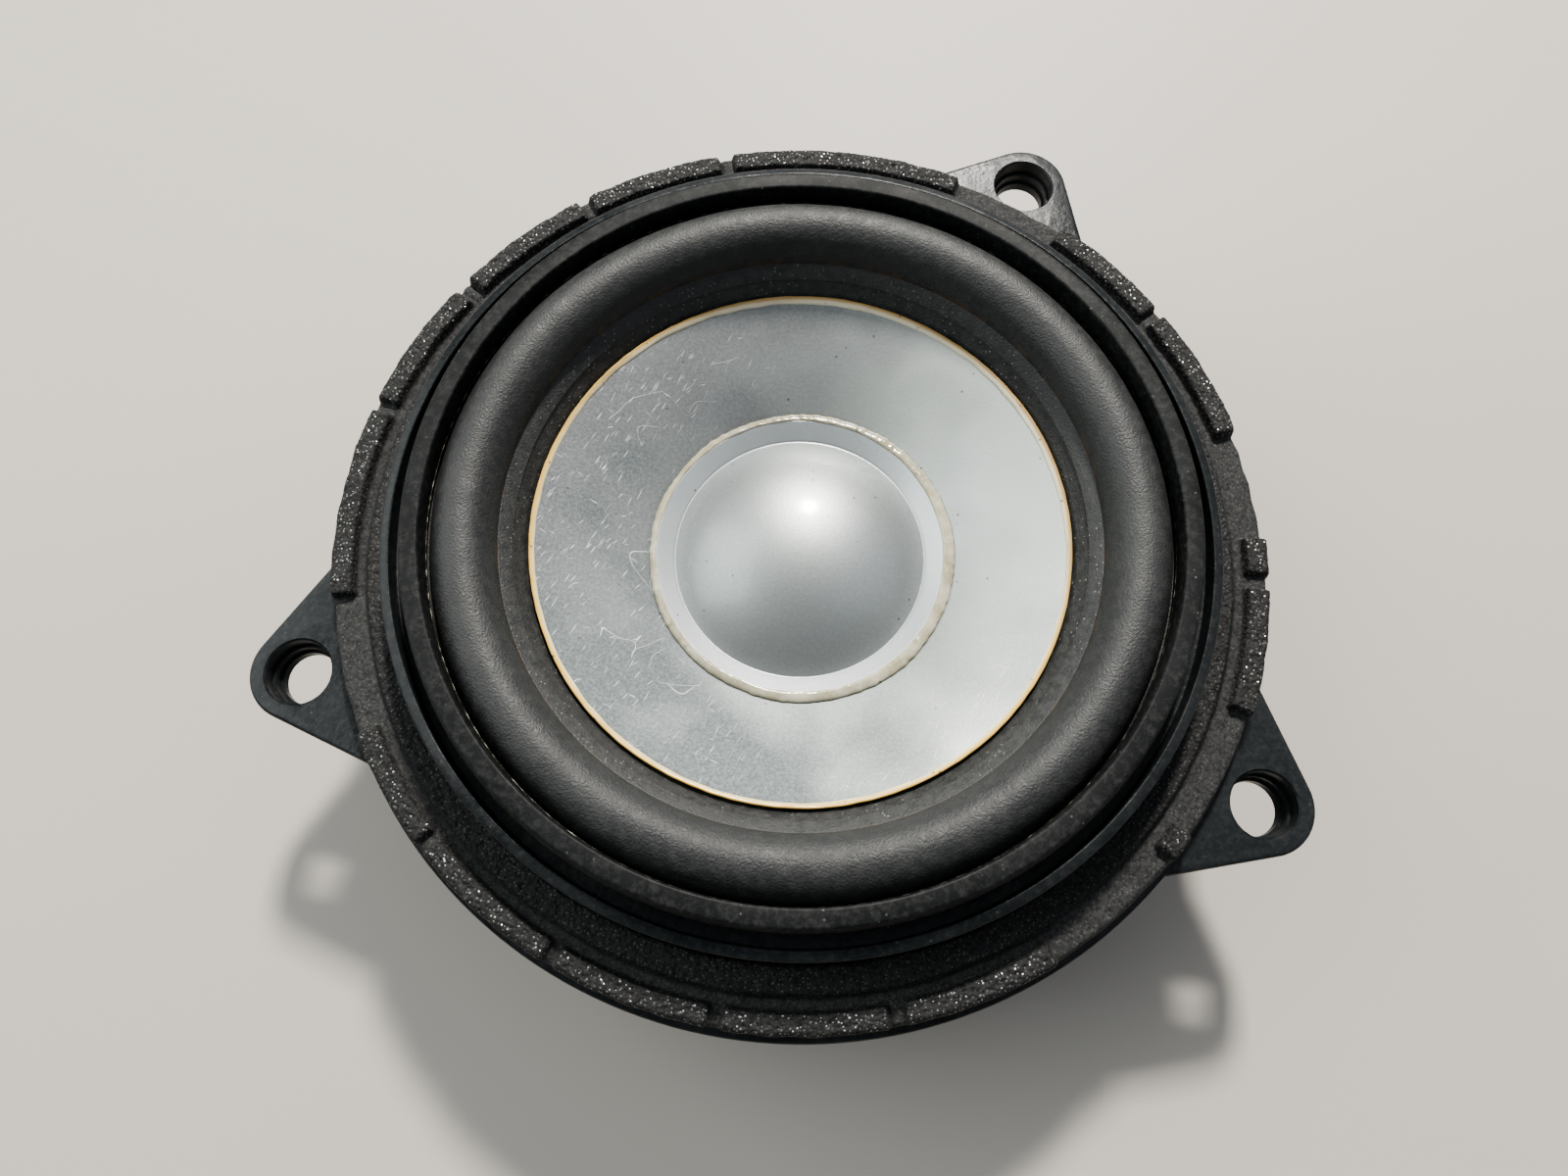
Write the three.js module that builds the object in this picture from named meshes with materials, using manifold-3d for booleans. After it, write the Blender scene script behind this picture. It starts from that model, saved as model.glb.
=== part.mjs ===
// Door midrange loudspeaker of the 100 mm class: aluminium cone, rubber half-roll surround,
// shallow plastic basket with three screw ears, and a neodymium cup motor.
// Millimetres. The axis of the speaker is Z and it plays towards +Z. The origin is the centre
// of the motor's flat back face. Azimuths are degrees from +X towards +Y.

import * as THREE from "three";
import { mergeVertices } from "three/addons/utils/BufferGeometryUtils.js";
import Module from "manifold-3d";

const wasm = await Module();
wasm.setup();

// ---------------------------------------------------------------- driving dimensions
const GAP = 0.3; // left between pieces that touch on the real speaker
const RING_SEGMENTS = 40; // facets round the big rings
const MOTOR_SEGMENTS = 32; // facets round the motor, coil and dust cap

const FLANGE = { radius: 54.9, top: 26.3, plate: 2.5, depth: 5.0, skirt: 1.6 };
const EAR = {
  azimuths: [62.6, 197.6, 332.6],
  holeCircle: 59.8,
  tipRadius: 5.65,
  halfSpan: 13.5,
  top: 26.1,
};
// Each ear's hole narrows in steps from the front: radius, and the height at which the step ends.
const EAR_HOLE_STEPS = [
  { radius: 3.8, bottom: 24.0 },
  { radius: 3.45, bottom: 22.6 },
  { radius: 3.15, bottom: 20.3 },
];
const COLLAR = { outer: 46.6, inner: 44.4, ledge: 45.4, ledgeTop: 36.2, rimTop: 35.2 };
const SHELF = { inner: 41.0, top: 33.7, thickness: 2.0 };
const SPIDER_SEAT = { inner: 24.2, outer: 28.9, wall: 30.4, height: 17.0, wallTop: 18.0 };
const MOTOR_SEAT = { inner: 19.2, top: 14.5, bottom: 12.9 };
const SPOKE = { count: 6, first: 0, width: 7.0, rib: 2.0, ribDepth: 3.0 };
const WINDOW = { inner: 31.8, outer: 43.2 };

const FOAM = { inner: 46.9, outer: 54.25, top: 30.2, pressed: 29.0, band: 50.0, padInner: 51.3 };
// Azimuths at which each raised pad of the foam starts and ends. The spaces are pressed flat.
const FOAM_PADS = [
  [-19.8, 2.7], [17.5, 35.9], [37.2, 54.4], [70.1, 102.2], [104.0, 123.3], [124.6, 143.2],
  [145.3, 163.8], [165.2, 190.7], [208.0, 223.2], [224.4, 242.9], [244.1, 262.5],
  [263.8, 282.7], [284.4, 302.5], [320.2, 323.9],
];

const TRIM = { inner: 41.45, outer: 43.85, bottom: 35.1, top: 38.9 };
const ROLL = { centre: 37.65, halfWidth: 3.65, foot: 34.3, height: 4.2, thickness: 0.6, steps: 7 };
const CONE = { edge: 31.0, edgeTop: 31.2, neck: 13.0, thickness: 0.45 };
const DOME = { crease: 15.14, creaseTop: 23.5, apex: 28.5, rim: 17.3, rimTop: 25.3, steps: 6 };
const COIL = { inner: 12.4, wall: 0.3, bottom: 7.6, top: 22.3 };
const WINDING = { inner: 12.8, outer: 13.3, bottom: 8.0, top: 13.8 };
const SPIDER = { neck: 13.0, rolls: 4, rollStart: 14.4, rollEnd: 25.5, outer: 28.6, height: 0.9 };

const CUP = { radius: 18.0, flange: 24.0, flangeBottom: 10.6, top: 12.6, floor: 4.0, bore: 13.6 };
const MAGNET = { radius: 11.0, height: 4.5 };
const POLE_PLATE = { radius: 12.0, height: 3.5 };
const SCREW = { count: 4, first: 45, circle: 21.6, shank: 1.15, hole: 1.5, head: 2.4, headHeight: 1.8 };

// The connector hangs under the flange at azimuth 270. "back" and "front" are distances from
// the speaker's axis, and its socket opens downwards.
const SOCKET = { back: 43.9, front: 52.0, halfWidth: 8.3, bottom: 11.5, top: 23.5, wall: 1.3 };
const SOCKET_FLOOR = 20.0;
const BLADE = { offset: 3.6, width: 2.8, thickness: 0.8, radius: 47.95, tip: 13.5 };
const TAB = { end: 40.0, top: 22.7 };
const LEAD = { radius: 0.55, sides: 8, steps: 14 };
// Each tinsel lead runs from the cone's back to its tab: distance out, height, and sideways
// place as a share of the way from the joint on the cone to the tab.
const LEAD_ROUTE = [
  [18.6, 23.3, 0.0], [20.4, 22.3, 0.05], [25.0, 21.5, 0.2], [31.0, 22.9, 0.55],
  [36.0, 24.8, 0.85], [39.2, 24.8, 0.98], [40.7, 23.6, 1.0],
];
const LEAD_JOINT = { radius: 17.4, sideways: 5.4, size: 1.5 };

// ---------------------------------------------------------------- helpers
const radians = THREE.MathUtils.degToRad;

// A solid of revolution about Z from a closed outline of [radius, height] points. An outline
// that touches the axis starts and ends on it, and any other is closed here.
function turned(outline, segments = RING_SEGMENTS) {
  const area = outline.reduce((sum, [r, z], i) => {
    const [nextR, nextZ] = outline[(i + 1) % outline.length];
    return sum + r * nextZ - nextR * z;
  }, 0);
  const ordered = area > 0 ? outline : [...outline].reverse();
  const onAxis = ordered[0][0] === 0;
  const loop = onAxis ? ordered : [...ordered, ordered[0]];
  const points = loop.map(([r, z]) => new THREE.Vector2(r, z));
  return new THREE.LatheGeometry(points, segments).rotateX(Math.PI / 2);
}

// A prism standing on the XY plane's shape, from height bottom to height top.
function prism(shape, bottom, top, curveSegments = 6) {
  const settings = { depth: top - bottom, bevelEnabled: false, curveSegments };
  return new THREE.ExtrudeGeometry(shape, settings).translate(0, 0, bottom);
}

// A box given by its lowest and highest corners.
function block(low, high) {
  const size = high.map((value, i) => value - low[i]);
  const middle = high.map((value, i) => (value + low[i]) / 2);
  return new THREE.BoxGeometry(...size).translate(...middle);
}

// A disc or pin on a vertical axis.
function pin(radius, bottom, top, x = 0, y = 0, segments = 24) {
  const cylinder = new THREE.CylinderGeometry(radius, radius, top - bottom, segments);
  return cylinder.rotateX(Math.PI / 2).translate(x, y, (top + bottom) / 2);
}

// A sector of a ring between two radii and two azimuths.
function sector(inner, outer, from, to, innerTrim = 0) {
  const shape = new THREE.Shape();
  shape.absarc(0, 0, outer, radians(from), radians(to), false);
  shape.absarc(0, 0, inner, radians(to - innerTrim), radians(from + innerTrim), true);
  shape.closePath();
  return shape;
}

function around(geometry, azimuth) {
  return geometry.clone().rotateZ(radians(azimuth));
}

// three.js geometry to a manifold-3d solid and back.
function solid(geometry) {
  const bare = geometry.clone().deleteAttribute("normal").deleteAttribute("uv");
  const merged = mergeVertices(bare, 1e-4);
  return new wasm.Manifold(
    new wasm.Mesh({
      numProp: 3,
      vertProperties: merged.attributes.position.array,
      triVerts: new Uint32Array(merged.index.array),
    }),
  );
}

function joined(first, ...others) {
  return others.reduce((sum, geometry) => sum.add(solid(geometry)), solid(first));
}

function cut(body, ...tools) {
  return tools.reduce((left, geometry) => left.subtract(solid(geometry)), body);
}

function geometryOf(body) {
  const mesh = body.getMesh();
  return new THREE.BufferGeometry()
    .setAttribute("position", new THREE.BufferAttribute(mesh.vertProperties, 3))
    .setIndex(new THREE.BufferAttribute(mesh.triVerts, 1));
}

const speaker = new THREE.Group();

function place(name, geometry, color, roughness, metalness = 0) {
  const mesh = new THREE.Mesh(geometry, new THREE.MeshStandardMaterial({ color, roughness, metalness }));
  mesh.name = name;
  mesh.geometry.computeVertexNormals();
  speaker.add(mesh);
}

// ---------------------------------------------------------------- basket
// One moulding: collar and shelf for the surround, flange with skirt, sloping wall, spider seat
// and motor seat.
function basketOutline() {
  const flangeUnder = FLANGE.top - FLANGE.plate;
  const skirtBottom = FLANGE.top - FLANGE.depth;
  const shelfUnder = SHELF.top - SHELF.thickness;
  return [
    [SHELF.inner, shelfUnder],
    [SHELF.inner, SHELF.top],
    [COLLAR.ledge, SHELF.top],
    [COLLAR.ledge, COLLAR.ledgeTop],
    [COLLAR.outer, COLLAR.rimTop],
    [COLLAR.outer, FLANGE.top],
    [FLANGE.radius, FLANGE.top],
    [FLANGE.radius, skirtBottom],
    [FLANGE.radius - FLANGE.skirt, skirtBottom],
    [FLANGE.radius - FLANGE.skirt, flangeUnder],
    [COLLAR.outer, flangeUnder],
    [WINDOW.inner, 15.6],
    [26.0, MOTOR_SEAT.bottom],
    [MOTOR_SEAT.inner, MOTOR_SEAT.bottom],
    [MOTOR_SEAT.inner, MOTOR_SEAT.top],
    [SPIDER_SEAT.inner, MOTOR_SEAT.top],
    [SPIDER_SEAT.inner, SPIDER_SEAT.height],
    [SPIDER_SEAT.outer, SPIDER_SEAT.height],
    [SPIDER_SEAT.outer, SPIDER_SEAT.wallTop],
    [SPIDER_SEAT.wall, SPIDER_SEAT.wallTop],
    [COLLAR.inner, 25.6],
    [COLLAR.inner, shelfUnder],
  ];
}

// An ear's plan: two straight sides from the flange, tangent to a round tip about the hole.
function earShape() {
  const root = FLANGE.radius - 0.6;
  const rootX = root * Math.cos(radians(EAR.halfSpan));
  const rootY = root * Math.sin(radians(EAR.halfSpan));
  const reach = Math.hypot(rootX - EAR.holeCircle, rootY);
  const tangent = Math.atan2(rootY, rootX - EAR.holeCircle) - Math.acos(EAR.tipRadius / reach);
  const shape = new THREE.Shape();
  shape.absarc(EAR.holeCircle, 0, EAR.tipRadius, -tangent, tangent, false);
  shape.lineTo(rootX, rootY);
  shape.lineTo(rootX, -rootY);
  shape.closePath();
  return shape;
}

// A window between two spokes whose sides are parallel to the spokes.
function windowShape() {
  const half = 180 / SPOKE.count;
  const spokeAngle = (radius) => THREE.MathUtils.radToDeg(Math.asin(SPOKE.width / 2 / radius));
  const outerHalf = half - spokeAngle(WINDOW.outer);
  const innerTrim = spokeAngle(WINDOW.inner) - spokeAngle(WINDOW.outer);
  return sector(WINDOW.inner, WINDOW.outer, -outerHalf, outerHalf, innerTrim);
}

// The stiffening rib under a spoke, a plate in the plane of azimuth 0.
function spokeRib() {
  const flangeUnder = FLANGE.top - FLANGE.plate;
  const shape = new THREE.Shape([
    new THREE.Vector2(26.4, MOTOR_SEAT.bottom + 0.6),
    new THREE.Vector2(26.4, MOTOR_SEAT.bottom - 0.9),
    new THREE.Vector2(29.4, MOTOR_SEAT.bottom - 0.9),
    new THREE.Vector2(50.6, flangeUnder - SPOKE.ribDepth + 0.6),
    new THREE.Vector2(53.6, flangeUnder - 0.6),
    new THREE.Vector2(53.6, flangeUnder + 0.6),
    new THREE.Vector2(45.0, flangeUnder + 0.6),
  ]);
  const plate = new THREE.ExtrudeGeometry(shape, { depth: SPOKE.rib, bevelEnabled: false });
  return plate.translate(0, 0, -SPOKE.rib / 2).rotateX(Math.PI / 2);
}

function basket() {
  let body = solid(turned(basketOutline()));
  for (let i = 0; i < SPOKE.count; i++) {
    const azimuth = SPOKE.first + (i * 360) / SPOKE.count;
    const opening = prism(windowShape(), 10, SHELF.top - SHELF.thickness - 1);
    body = cut(body, around(opening, azimuth + 180 / SPOKE.count));
    body = body.add(solid(around(spokeRib(), azimuth)));
  }
  for (const azimuth of EAR.azimuths) {
    body = body.add(solid(around(prism(earShape(), FLANGE.top - FLANGE.depth, EAR.top), azimuth)));
    let stepTop = EAR.top + 1;
    for (const { radius, bottom } of EAR_HOLE_STEPS) {
      body = cut(body, around(pin(radius, bottom, stepTop, EAR.holeCircle), azimuth));
      stepTop = bottom + 0.01;
    }
  }
  for (let i = 0; i < SCREW.count; i++) {
    const azimuth = SCREW.first + (i * 360) / SCREW.count;
    const hole = pin(SCREW.hole, MOTOR_SEAT.bottom - 1, MOTOR_SEAT.top + 1, SCREW.circle, 0, 16);
    body = cut(body, around(hole, azimuth));
  }
  const clearance = block(
    [-SOCKET.halfWidth - GAP, -SOCKET.front - GAP, SOCKET.bottom],
    [SOCKET.halfWidth + GAP, -WINDOW.outer + 1, FLANGE.top - FLANGE.plate],
  );
  return geometryOf(cut(body, clearance));
}

place("basket", basket(), 0x1d1f20, 0.6);

// ---------------------------------------------------------------- foam gasket
// A foam ring on the front of the flange. Its inner band and its pads stand at full height.
function foamGasket() {
  const bottom = FLANGE.top + GAP;
  const ring = turned([
    [FOAM.inner, bottom],
    [FOAM.inner, FOAM.top],
    [FOAM.band, FOAM.top],
    [FOAM.band + 0.3, FOAM.pressed],
    [FOAM.outer, FOAM.pressed],
    [FOAM.outer, bottom],
  ]);
  const pads = FOAM_PADS.map(([from, to]) =>
    prism(sector(FOAM.padInner, FOAM.outer - 0.15, from, to), FOAM.pressed - 0.5, FOAM.top, 4),
  );
  return geometryOf(joined(ring, ...pads));
}

place("foam_gasket", foamGasket(), 0x26241f, 0.95);

// ---------------------------------------------------------------- trim ring
// The plain ring that clamps the surround's rim down on the basket's shelf.
place(
  "trim_ring",
  turned([
    [TRIM.inner, TRIM.bottom],
    [TRIM.inner, TRIM.top - 0.3],
    [TRIM.inner + 0.3, TRIM.top],
    [TRIM.outer - 0.5, TRIM.top],
    [TRIM.outer, TRIM.top - 0.5],
    [TRIM.outer, TRIM.bottom],
  ]),
  0x222425,
  0.65,
);

// ---------------------------------------------------------------- surround
// One skin: inner flange under the cone's edge, incline, half roll and the flat clamped rim.
function rollPoint(share, inset) {
  const angle = Math.PI * (1 - share);
  return [
    ROLL.centre + (ROLL.halfWidth - inset) * Math.cos(angle),
    ROLL.foot + (ROLL.height - inset) * Math.sin(angle),
  ];
}

function surroundOutline() {
  const shares = Array.from({ length: ROLL.steps }, (_, i) => i / ROLL.steps);
  const rimTop = TRIM.bottom - GAP;
  const rimBottom = SHELF.top + GAP;
  return [
    [28.6, 29.2],
    [31.3, 30.5],
    [31.6, 31.2],
    ...shares.map((share) => rollPoint(share, 0)),
    [ROLL.centre + ROLL.halfWidth, rimTop],
    [TRIM.outer - 0.15, rimTop],
    [TRIM.outer - 0.15, rimBottom],
    [ROLL.centre + ROLL.halfWidth - ROLL.thickness, rimBottom],
    ...shares.slice(1).reverse().map((share) => rollPoint(share, ROLL.thickness)),
    [34.5, 33.6],
    [32.1, 30.7],
    [31.7, 29.9],
    [28.6, 28.5],
  ];
}

place("surround", turned(surroundOutline()), 0x17181a, 0.7);

// ---------------------------------------------------------------- cone, dust cap and glue
place(
  "cone",
  turned([
    [CONE.neck, 19.8],
    [CONE.neck, 21.5],
    [15.1, 22.75],
    [17.4, 24.3],
    [18.6, 25.0],
    [CONE.edge, CONE.edgeTop],
    [CONE.edge, CONE.edgeTop - CONE.thickness],
    [18.6, 25.0 - CONE.thickness],
    [17.4, 24.3 - CONE.thickness],
    [CONE.neck + CONE.thickness, 21.2],
    [CONE.neck + CONE.thickness, 19.8],
  ]),
  0xb9bcbd,
  0.38,
  1,
);

// The dome is a spherical cap whose rim turns up into a narrow conical flange.
function dustCapOutline() {
  const thickness = 0.35;
  const rise = DOME.apex - DOME.creaseTop;
  const sphere = (DOME.crease ** 2 + rise ** 2) / (2 * rise);
  const spread = Math.asin(DOME.crease / sphere);
  const arc = (radius) =>
    Array.from({ length: DOME.steps }, (_, i) => {
      const angle = (spread * i) / DOME.steps;
      return [radius * Math.sin(angle), DOME.apex - sphere + radius * Math.cos(angle)];
    });
  return [
    ...arc(sphere),
    [DOME.crease, DOME.creaseTop],
    [DOME.rim, DOME.rimTop],
    [DOME.rim, DOME.rimTop - thickness - 0.1],
    [DOME.crease, DOME.creaseTop - thickness],
    ...arc(sphere - thickness).reverse(),
  ];
}

place("dust_cap", turned(dustCapOutline(), MOTOR_SEGMENTS), 0xc4c6c6, 0.34, 1);

place(
  "dust_cap_glue",
  turned([
    [17.45, 24.75],
    [17.45, 25.7],
    [17.9, 25.95],
    [18.5, 25.75],
    [18.8, 25.35],
  ]),
  0xcfc3a2,
  0.35,
);

place(
  "cone_edge_glue",
  turned([
    [CONE.edge + 0.12, 30.85],
    [CONE.edge + 0.12, 31.45],
    [CONE.edge + 0.45, 31.5],
    [CONE.edge + 0.35, 31.0],
  ]),
  0xb07a2c,
  0.35,
);

// ---------------------------------------------------------------- voice coil and spider
function tube(inner, outer, bottom, top) {
  return turned([[inner, bottom], [inner, top], [outer, top], [outer, bottom]], MOTOR_SEGMENTS);
}

const former = tube(COIL.inner, COIL.inner + COIL.wall, COIL.bottom, COIL.top);
const winding = tube(WINDING.inner, WINDING.outer, WINDING.bottom, WINDING.top);
place("voice_coil_former", former, 0xa06a35, 0.5);
place("voice_coil_winding", winding, 0xb2622f, 0.35, 1);

// The spider: short neck on the former, concentric rolls, and a flat rim on the spider seat.
function spiderOutline() {
  const thickness = 0.5;
  const rimTop = SPIDER_SEAT.height + GAP + thickness;
  const points = SPIDER.rolls * 2;
  const pitch = (SPIDER.rollEnd - SPIDER.rollStart) / points;
  const rolls = Array.from({ length: points }, (_, i) => [
    SPIDER.rollStart + i * pitch,
    rimTop + (i % 2 ? SPIDER.height : -SPIDER.height),
  ]);
  const front = [[SPIDER.neck, rimTop], ...rolls, [SPIDER.rollEnd, rimTop], [SPIDER.outer, rimTop]];
  const back = front.map(([r, z]) => [r, z - thickness]).reverse();
  return [...front, ...back];
}

place("spider", turned(spiderOutline()), 0xa98b4d, 0.9);

place(
  "spider_glue",
  turned([
    [COIL.inner + COIL.wall + 0.12, 18.1],
    [COIL.inner + COIL.wall + 0.12, 19.3],
    [13.3, 19.2],
    [13.6, 18.2],
  ], MOTOR_SEGMENTS),
  0x3a2d20,
  0.4,
);

// ---------------------------------------------------------------- motor
// A steel cup with a flat base. Its bore is the outer pole face, and its flange is screwed to
// the basket from behind.
function magnetCup() {
  const wallInner = CUP.bore + 0.8;
  const poleBottom = CUP.top - POLE_PLATE.height;
  const shell = turned(
    [
      [0, 0],
      [CUP.radius - 0.8, 0],
      [CUP.radius, 0.8],
      [CUP.radius, CUP.flangeBottom],
      [CUP.flange, CUP.flangeBottom],
      [CUP.flange, CUP.top],
      [CUP.bore, CUP.top],
      [CUP.bore, poleBottom],
      [wallInner, poleBottom - 0.5],
      [wallInner, CUP.floor],
      [0, CUP.floor],
    ],
    MOTOR_SEGMENTS,
  );
  const holes = Array.from({ length: SCREW.count }, (_, i) => {
    const hole = pin(SCREW.hole, CUP.flangeBottom - 1, CUP.top + 1, SCREW.circle, 0, 16);
    return around(hole, SCREW.first + (i * 360) / SCREW.count);
  });
  return geometryOf(cut(solid(shell), ...holes));
}

const magnetBottom = CUP.floor + GAP;
const plateBottom = CUP.top - POLE_PLATE.height;

place("magnet_cup", magnetCup(), 0x8d9296, 0.4, 1);
place(
  "magnet",
  pin(MAGNET.radius, magnetBottom, magnetBottom + MAGNET.height, 0, 0, MOTOR_SEGMENTS),
  0xa7abaf,
  0.3,
  1,
);
place("pole_plate", pin(POLE_PLATE.radius, plateBottom, CUP.top, 0, 0, MOTOR_SEGMENTS), 0x84898d, 0.35, 1);

// Pan-head screws, driven from behind through the cup's flange into the motor seat.
function motorScrew() {
  const headTop = CUP.flangeBottom - GAP;
  const headBottom = headTop - SCREW.headHeight;
  return turned(
    [
      [0, headBottom],
      [SCREW.head * 0.7, headBottom],
      [SCREW.head, headBottom + 0.7],
      [SCREW.head, headTop],
      [SCREW.shank, headTop],
      [SCREW.shank, MOTOR_SEAT.top - GAP],
      [0, MOTOR_SEAT.top - GAP],
    ],
    16,
  ).translate(SCREW.circle, 0, 0);
}

for (let i = 0; i < SCREW.count; i++) {
  const azimuth = SCREW.first + (i * 360) / SCREW.count;
  place(`motor_screw_${i + 1}`, around(motorScrew(), azimuth), 0x6f7274, 0.35, 1);
}

// ---------------------------------------------------------------- connector and leads
const sides = { positive: 1, negative: -1 };

function connectorHousing() {
  const slotReach = BLADE.radius + BLADE.thickness / 2 + GAP;
  const slotTop = TAB.top + GAP;
  const tools = [
    block(
      [-SOCKET.halfWidth + SOCKET.wall, -SOCKET.front + SOCKET.wall, SOCKET.bottom - 1],
      [SOCKET.halfWidth - SOCKET.wall, -SOCKET.back - SOCKET.wall, SOCKET_FLOOR],
    ),
  ];
  for (const side of Object.values(sides)) {
    const left = side * BLADE.offset - BLADE.width / 2 - GAP;
    const right = side * BLADE.offset + BLADE.width / 2 + GAP;
    const slotBottom = TAB.top - BLADE.thickness - GAP;
    tools.push(
      block([left, -slotReach, SOCKET_FLOOR - 1], [right, -slotReach + BLADE.thickness + 2 * GAP, slotTop]),
      block([left, -slotReach, slotBottom], [right, -SOCKET.back + 1, slotTop]),
    );
  }
  const shell = block(
    [-SOCKET.halfWidth, -SOCKET.front, SOCKET.bottom],
    [SOCKET.halfWidth, -SOCKET.back, SOCKET.top],
  );
  return geometryOf(cut(solid(shell), ...tools));
}

place("connector_housing", connectorHousing(), 0x17181a, 0.55);

// A terminal is one bent strip: a blade that stands in the socket and a tab into the basket.
function terminal(side) {
  const outer = BLADE.radius + BLADE.thickness / 2;
  const strip = new THREE.Shape([
    new THREE.Vector2(outer, BLADE.tip),
    new THREE.Vector2(outer, TAB.top),
    new THREE.Vector2(TAB.end, TAB.top),
    new THREE.Vector2(TAB.end, TAB.top - BLADE.thickness),
    new THREE.Vector2(outer - BLADE.thickness, TAB.top - BLADE.thickness),
    new THREE.Vector2(outer - BLADE.thickness, BLADE.tip),
  ]);
  return new THREE.ExtrudeGeometry(strip, { depth: BLADE.width, bevelEnabled: false })
    .translate(0, 0, -BLADE.width / 2)
    .rotateX(Math.PI / 2)
    .rotateZ(radians(270))
    .translate(side * BLADE.offset, 0, 0);
}

function tinselLead(side) {
  const points = LEAD_ROUTE.map(([out, height, share]) => {
    const sideways = THREE.MathUtils.lerp(LEAD_JOINT.sideways, BLADE.offset, share);
    return new THREE.Vector3(side * sideways, -out, height);
  });
  const section = new THREE.Shape();
  section.absarc(0, 0, LEAD.radius, 0, 2 * Math.PI, false);
  return new THREE.ExtrudeGeometry(section, {
    steps: LEAD.steps,
    curveSegments: LEAD.sides / 2,
    extrudePath: new THREE.CatmullRomCurve3(points),
  });
}

// The dab of cement on the cone's back where a lead meets the coil's wire.
function leadJoint(side) {
  const slope = Math.atan2(CONE.edgeTop - 25.0, CONE.edge - 18.6);
  const { size } = LEAD_JOINT;
  const dab = turned([[0, 0], [size, 0], [size * 0.8, -size * 0.4], [0, -size * 0.6]], 12);
  return dab
    .rotateX(-slope)
    .translate(side * LEAD_JOINT.sideways, -LEAD_JOINT.radius, 24.6 - CONE.thickness - GAP);
}

for (const [name, side] of Object.entries(sides)) {
  place(`terminal_${name}`, terminal(side), 0xc9c4b0, 0.3, 1);
  place(`tinsel_lead_${name}`, tinselLead(side), 0xb08a5a, 0.6, 1);
  place(`lead_joint_${name}`, leadJoint(side), 0x2a211a, 0.4);
}

export default speaker;
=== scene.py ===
"""Looks of a car door loudspeaker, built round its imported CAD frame.

Lengths named here are in millimetres and MM turns them into metres. The speaker's axis is Z, it
plays towards +Z, and azimuths are degrees from +X towards +Y.
"""

import math
from types import SimpleNamespace as Sizes

import bmesh
import bpy
import numpy as np
from mathutils import Matrix, Vector


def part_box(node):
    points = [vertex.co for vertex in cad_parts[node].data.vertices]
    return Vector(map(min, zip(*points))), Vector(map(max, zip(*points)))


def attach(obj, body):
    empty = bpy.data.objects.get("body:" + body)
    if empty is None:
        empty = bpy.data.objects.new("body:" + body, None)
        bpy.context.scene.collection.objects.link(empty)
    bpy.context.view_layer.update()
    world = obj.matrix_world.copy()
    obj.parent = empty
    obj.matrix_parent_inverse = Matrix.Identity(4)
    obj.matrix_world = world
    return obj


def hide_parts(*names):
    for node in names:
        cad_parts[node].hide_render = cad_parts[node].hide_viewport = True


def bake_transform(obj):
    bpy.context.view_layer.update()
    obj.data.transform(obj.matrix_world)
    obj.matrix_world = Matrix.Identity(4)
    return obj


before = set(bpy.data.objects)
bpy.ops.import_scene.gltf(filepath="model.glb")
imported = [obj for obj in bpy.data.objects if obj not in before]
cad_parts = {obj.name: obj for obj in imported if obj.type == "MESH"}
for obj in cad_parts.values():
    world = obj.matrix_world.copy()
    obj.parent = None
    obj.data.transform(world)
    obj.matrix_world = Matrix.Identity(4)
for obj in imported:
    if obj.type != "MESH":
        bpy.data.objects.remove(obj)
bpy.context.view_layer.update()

MM = 0.001
AROUND = 256  # steps round a ring
FRAME_BODY = "frame"
CONE_BODY = "cone_assembly"


# ---------------- sizes
def span(node):
    """A CAD node's radius, lowest and highest height, in millimetres."""
    low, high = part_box(node)
    return high.x / MM, low.z / MM, high.z / MM


FOAM_OUTER, FOAM_BOTTOM, FOAM_TOP = span("foam_gasket")
TRIM_OUTER, TRIM_BOTTOM, TRIM_TOP = span("trim_ring")
CONE_EDGE, NECK_BOTTOM, CONE_TOP = span("cone")
RIM_OUTER, _, ROLL_TOP = span("surround")
CUP_FLANGE, _, CUP_TOP = span("magnet_cup")
SPIDER_OUTER = span("spider")[0]
DOME_RIM, _, DOME_TOP = span("dust_cap")
FORMER_OUTER, FORMER_BOTTOM, FORMER_TOP = span("voice_coil_former")

FLANGE = Sizes(radius=54.9, top=26.3, plate=2.5, depth=5.0, skirt=1.6)
EAR = Sizes(azimuths=(62.6, 197.6, 332.6), circle=59.8, tip=5.65, half_span=13.5, top=26.1)
EAR_HOLE = ((3.8, 24.0), (3.45, 22.6), (3.15, 20.3))  # radius and lowest height of each step
COLLAR = Sizes(outer=46.6, inner=44.4, ledge=45.4, ledge_top=36.2, rim_top=35.8)
SHELF = Sizes(inner=41.0, top=33.7, thickness=2.0)
SPIDER_SEAT = Sizes(inner=24.2, outer=28.9, wall=30.4, height=17.0, wall_top=18.0)
MOTOR_SEAT = Sizes(inner=19.2, top=14.5, bottom=12.9)
SPOKE = Sizes(count=6, width=7.0, rib=2.0, rib_depth=3.0)
WINDOW = Sizes(inner=31.8, outer=43.2, top=30.7)
FOAM = Sizes(inner=46.9, band=50.0, pad_inner=51.3, pressed=29.0)
FOAM_PADS = (
    (-19.8, -3.6), (-2.0, 3.1), (17.5, 35.9), (37.2, 54.4), (70.1, 102.2), (104.0, 123.3), (124.6, 143.2),
    (145.3, 163.8), (165.2, 190.7), (208.0, 223.2), (224.4, 242.9), (244.1, 262.5),
    (263.8, 282.7), (284.4, 302.5), (320.2, 323.9),
)  # azimuths at which the foam's raised pads start and end
ROLL = Sizes(centre=37.65, half_width=3.65, foot=34.3, thickness=0.6)
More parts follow.
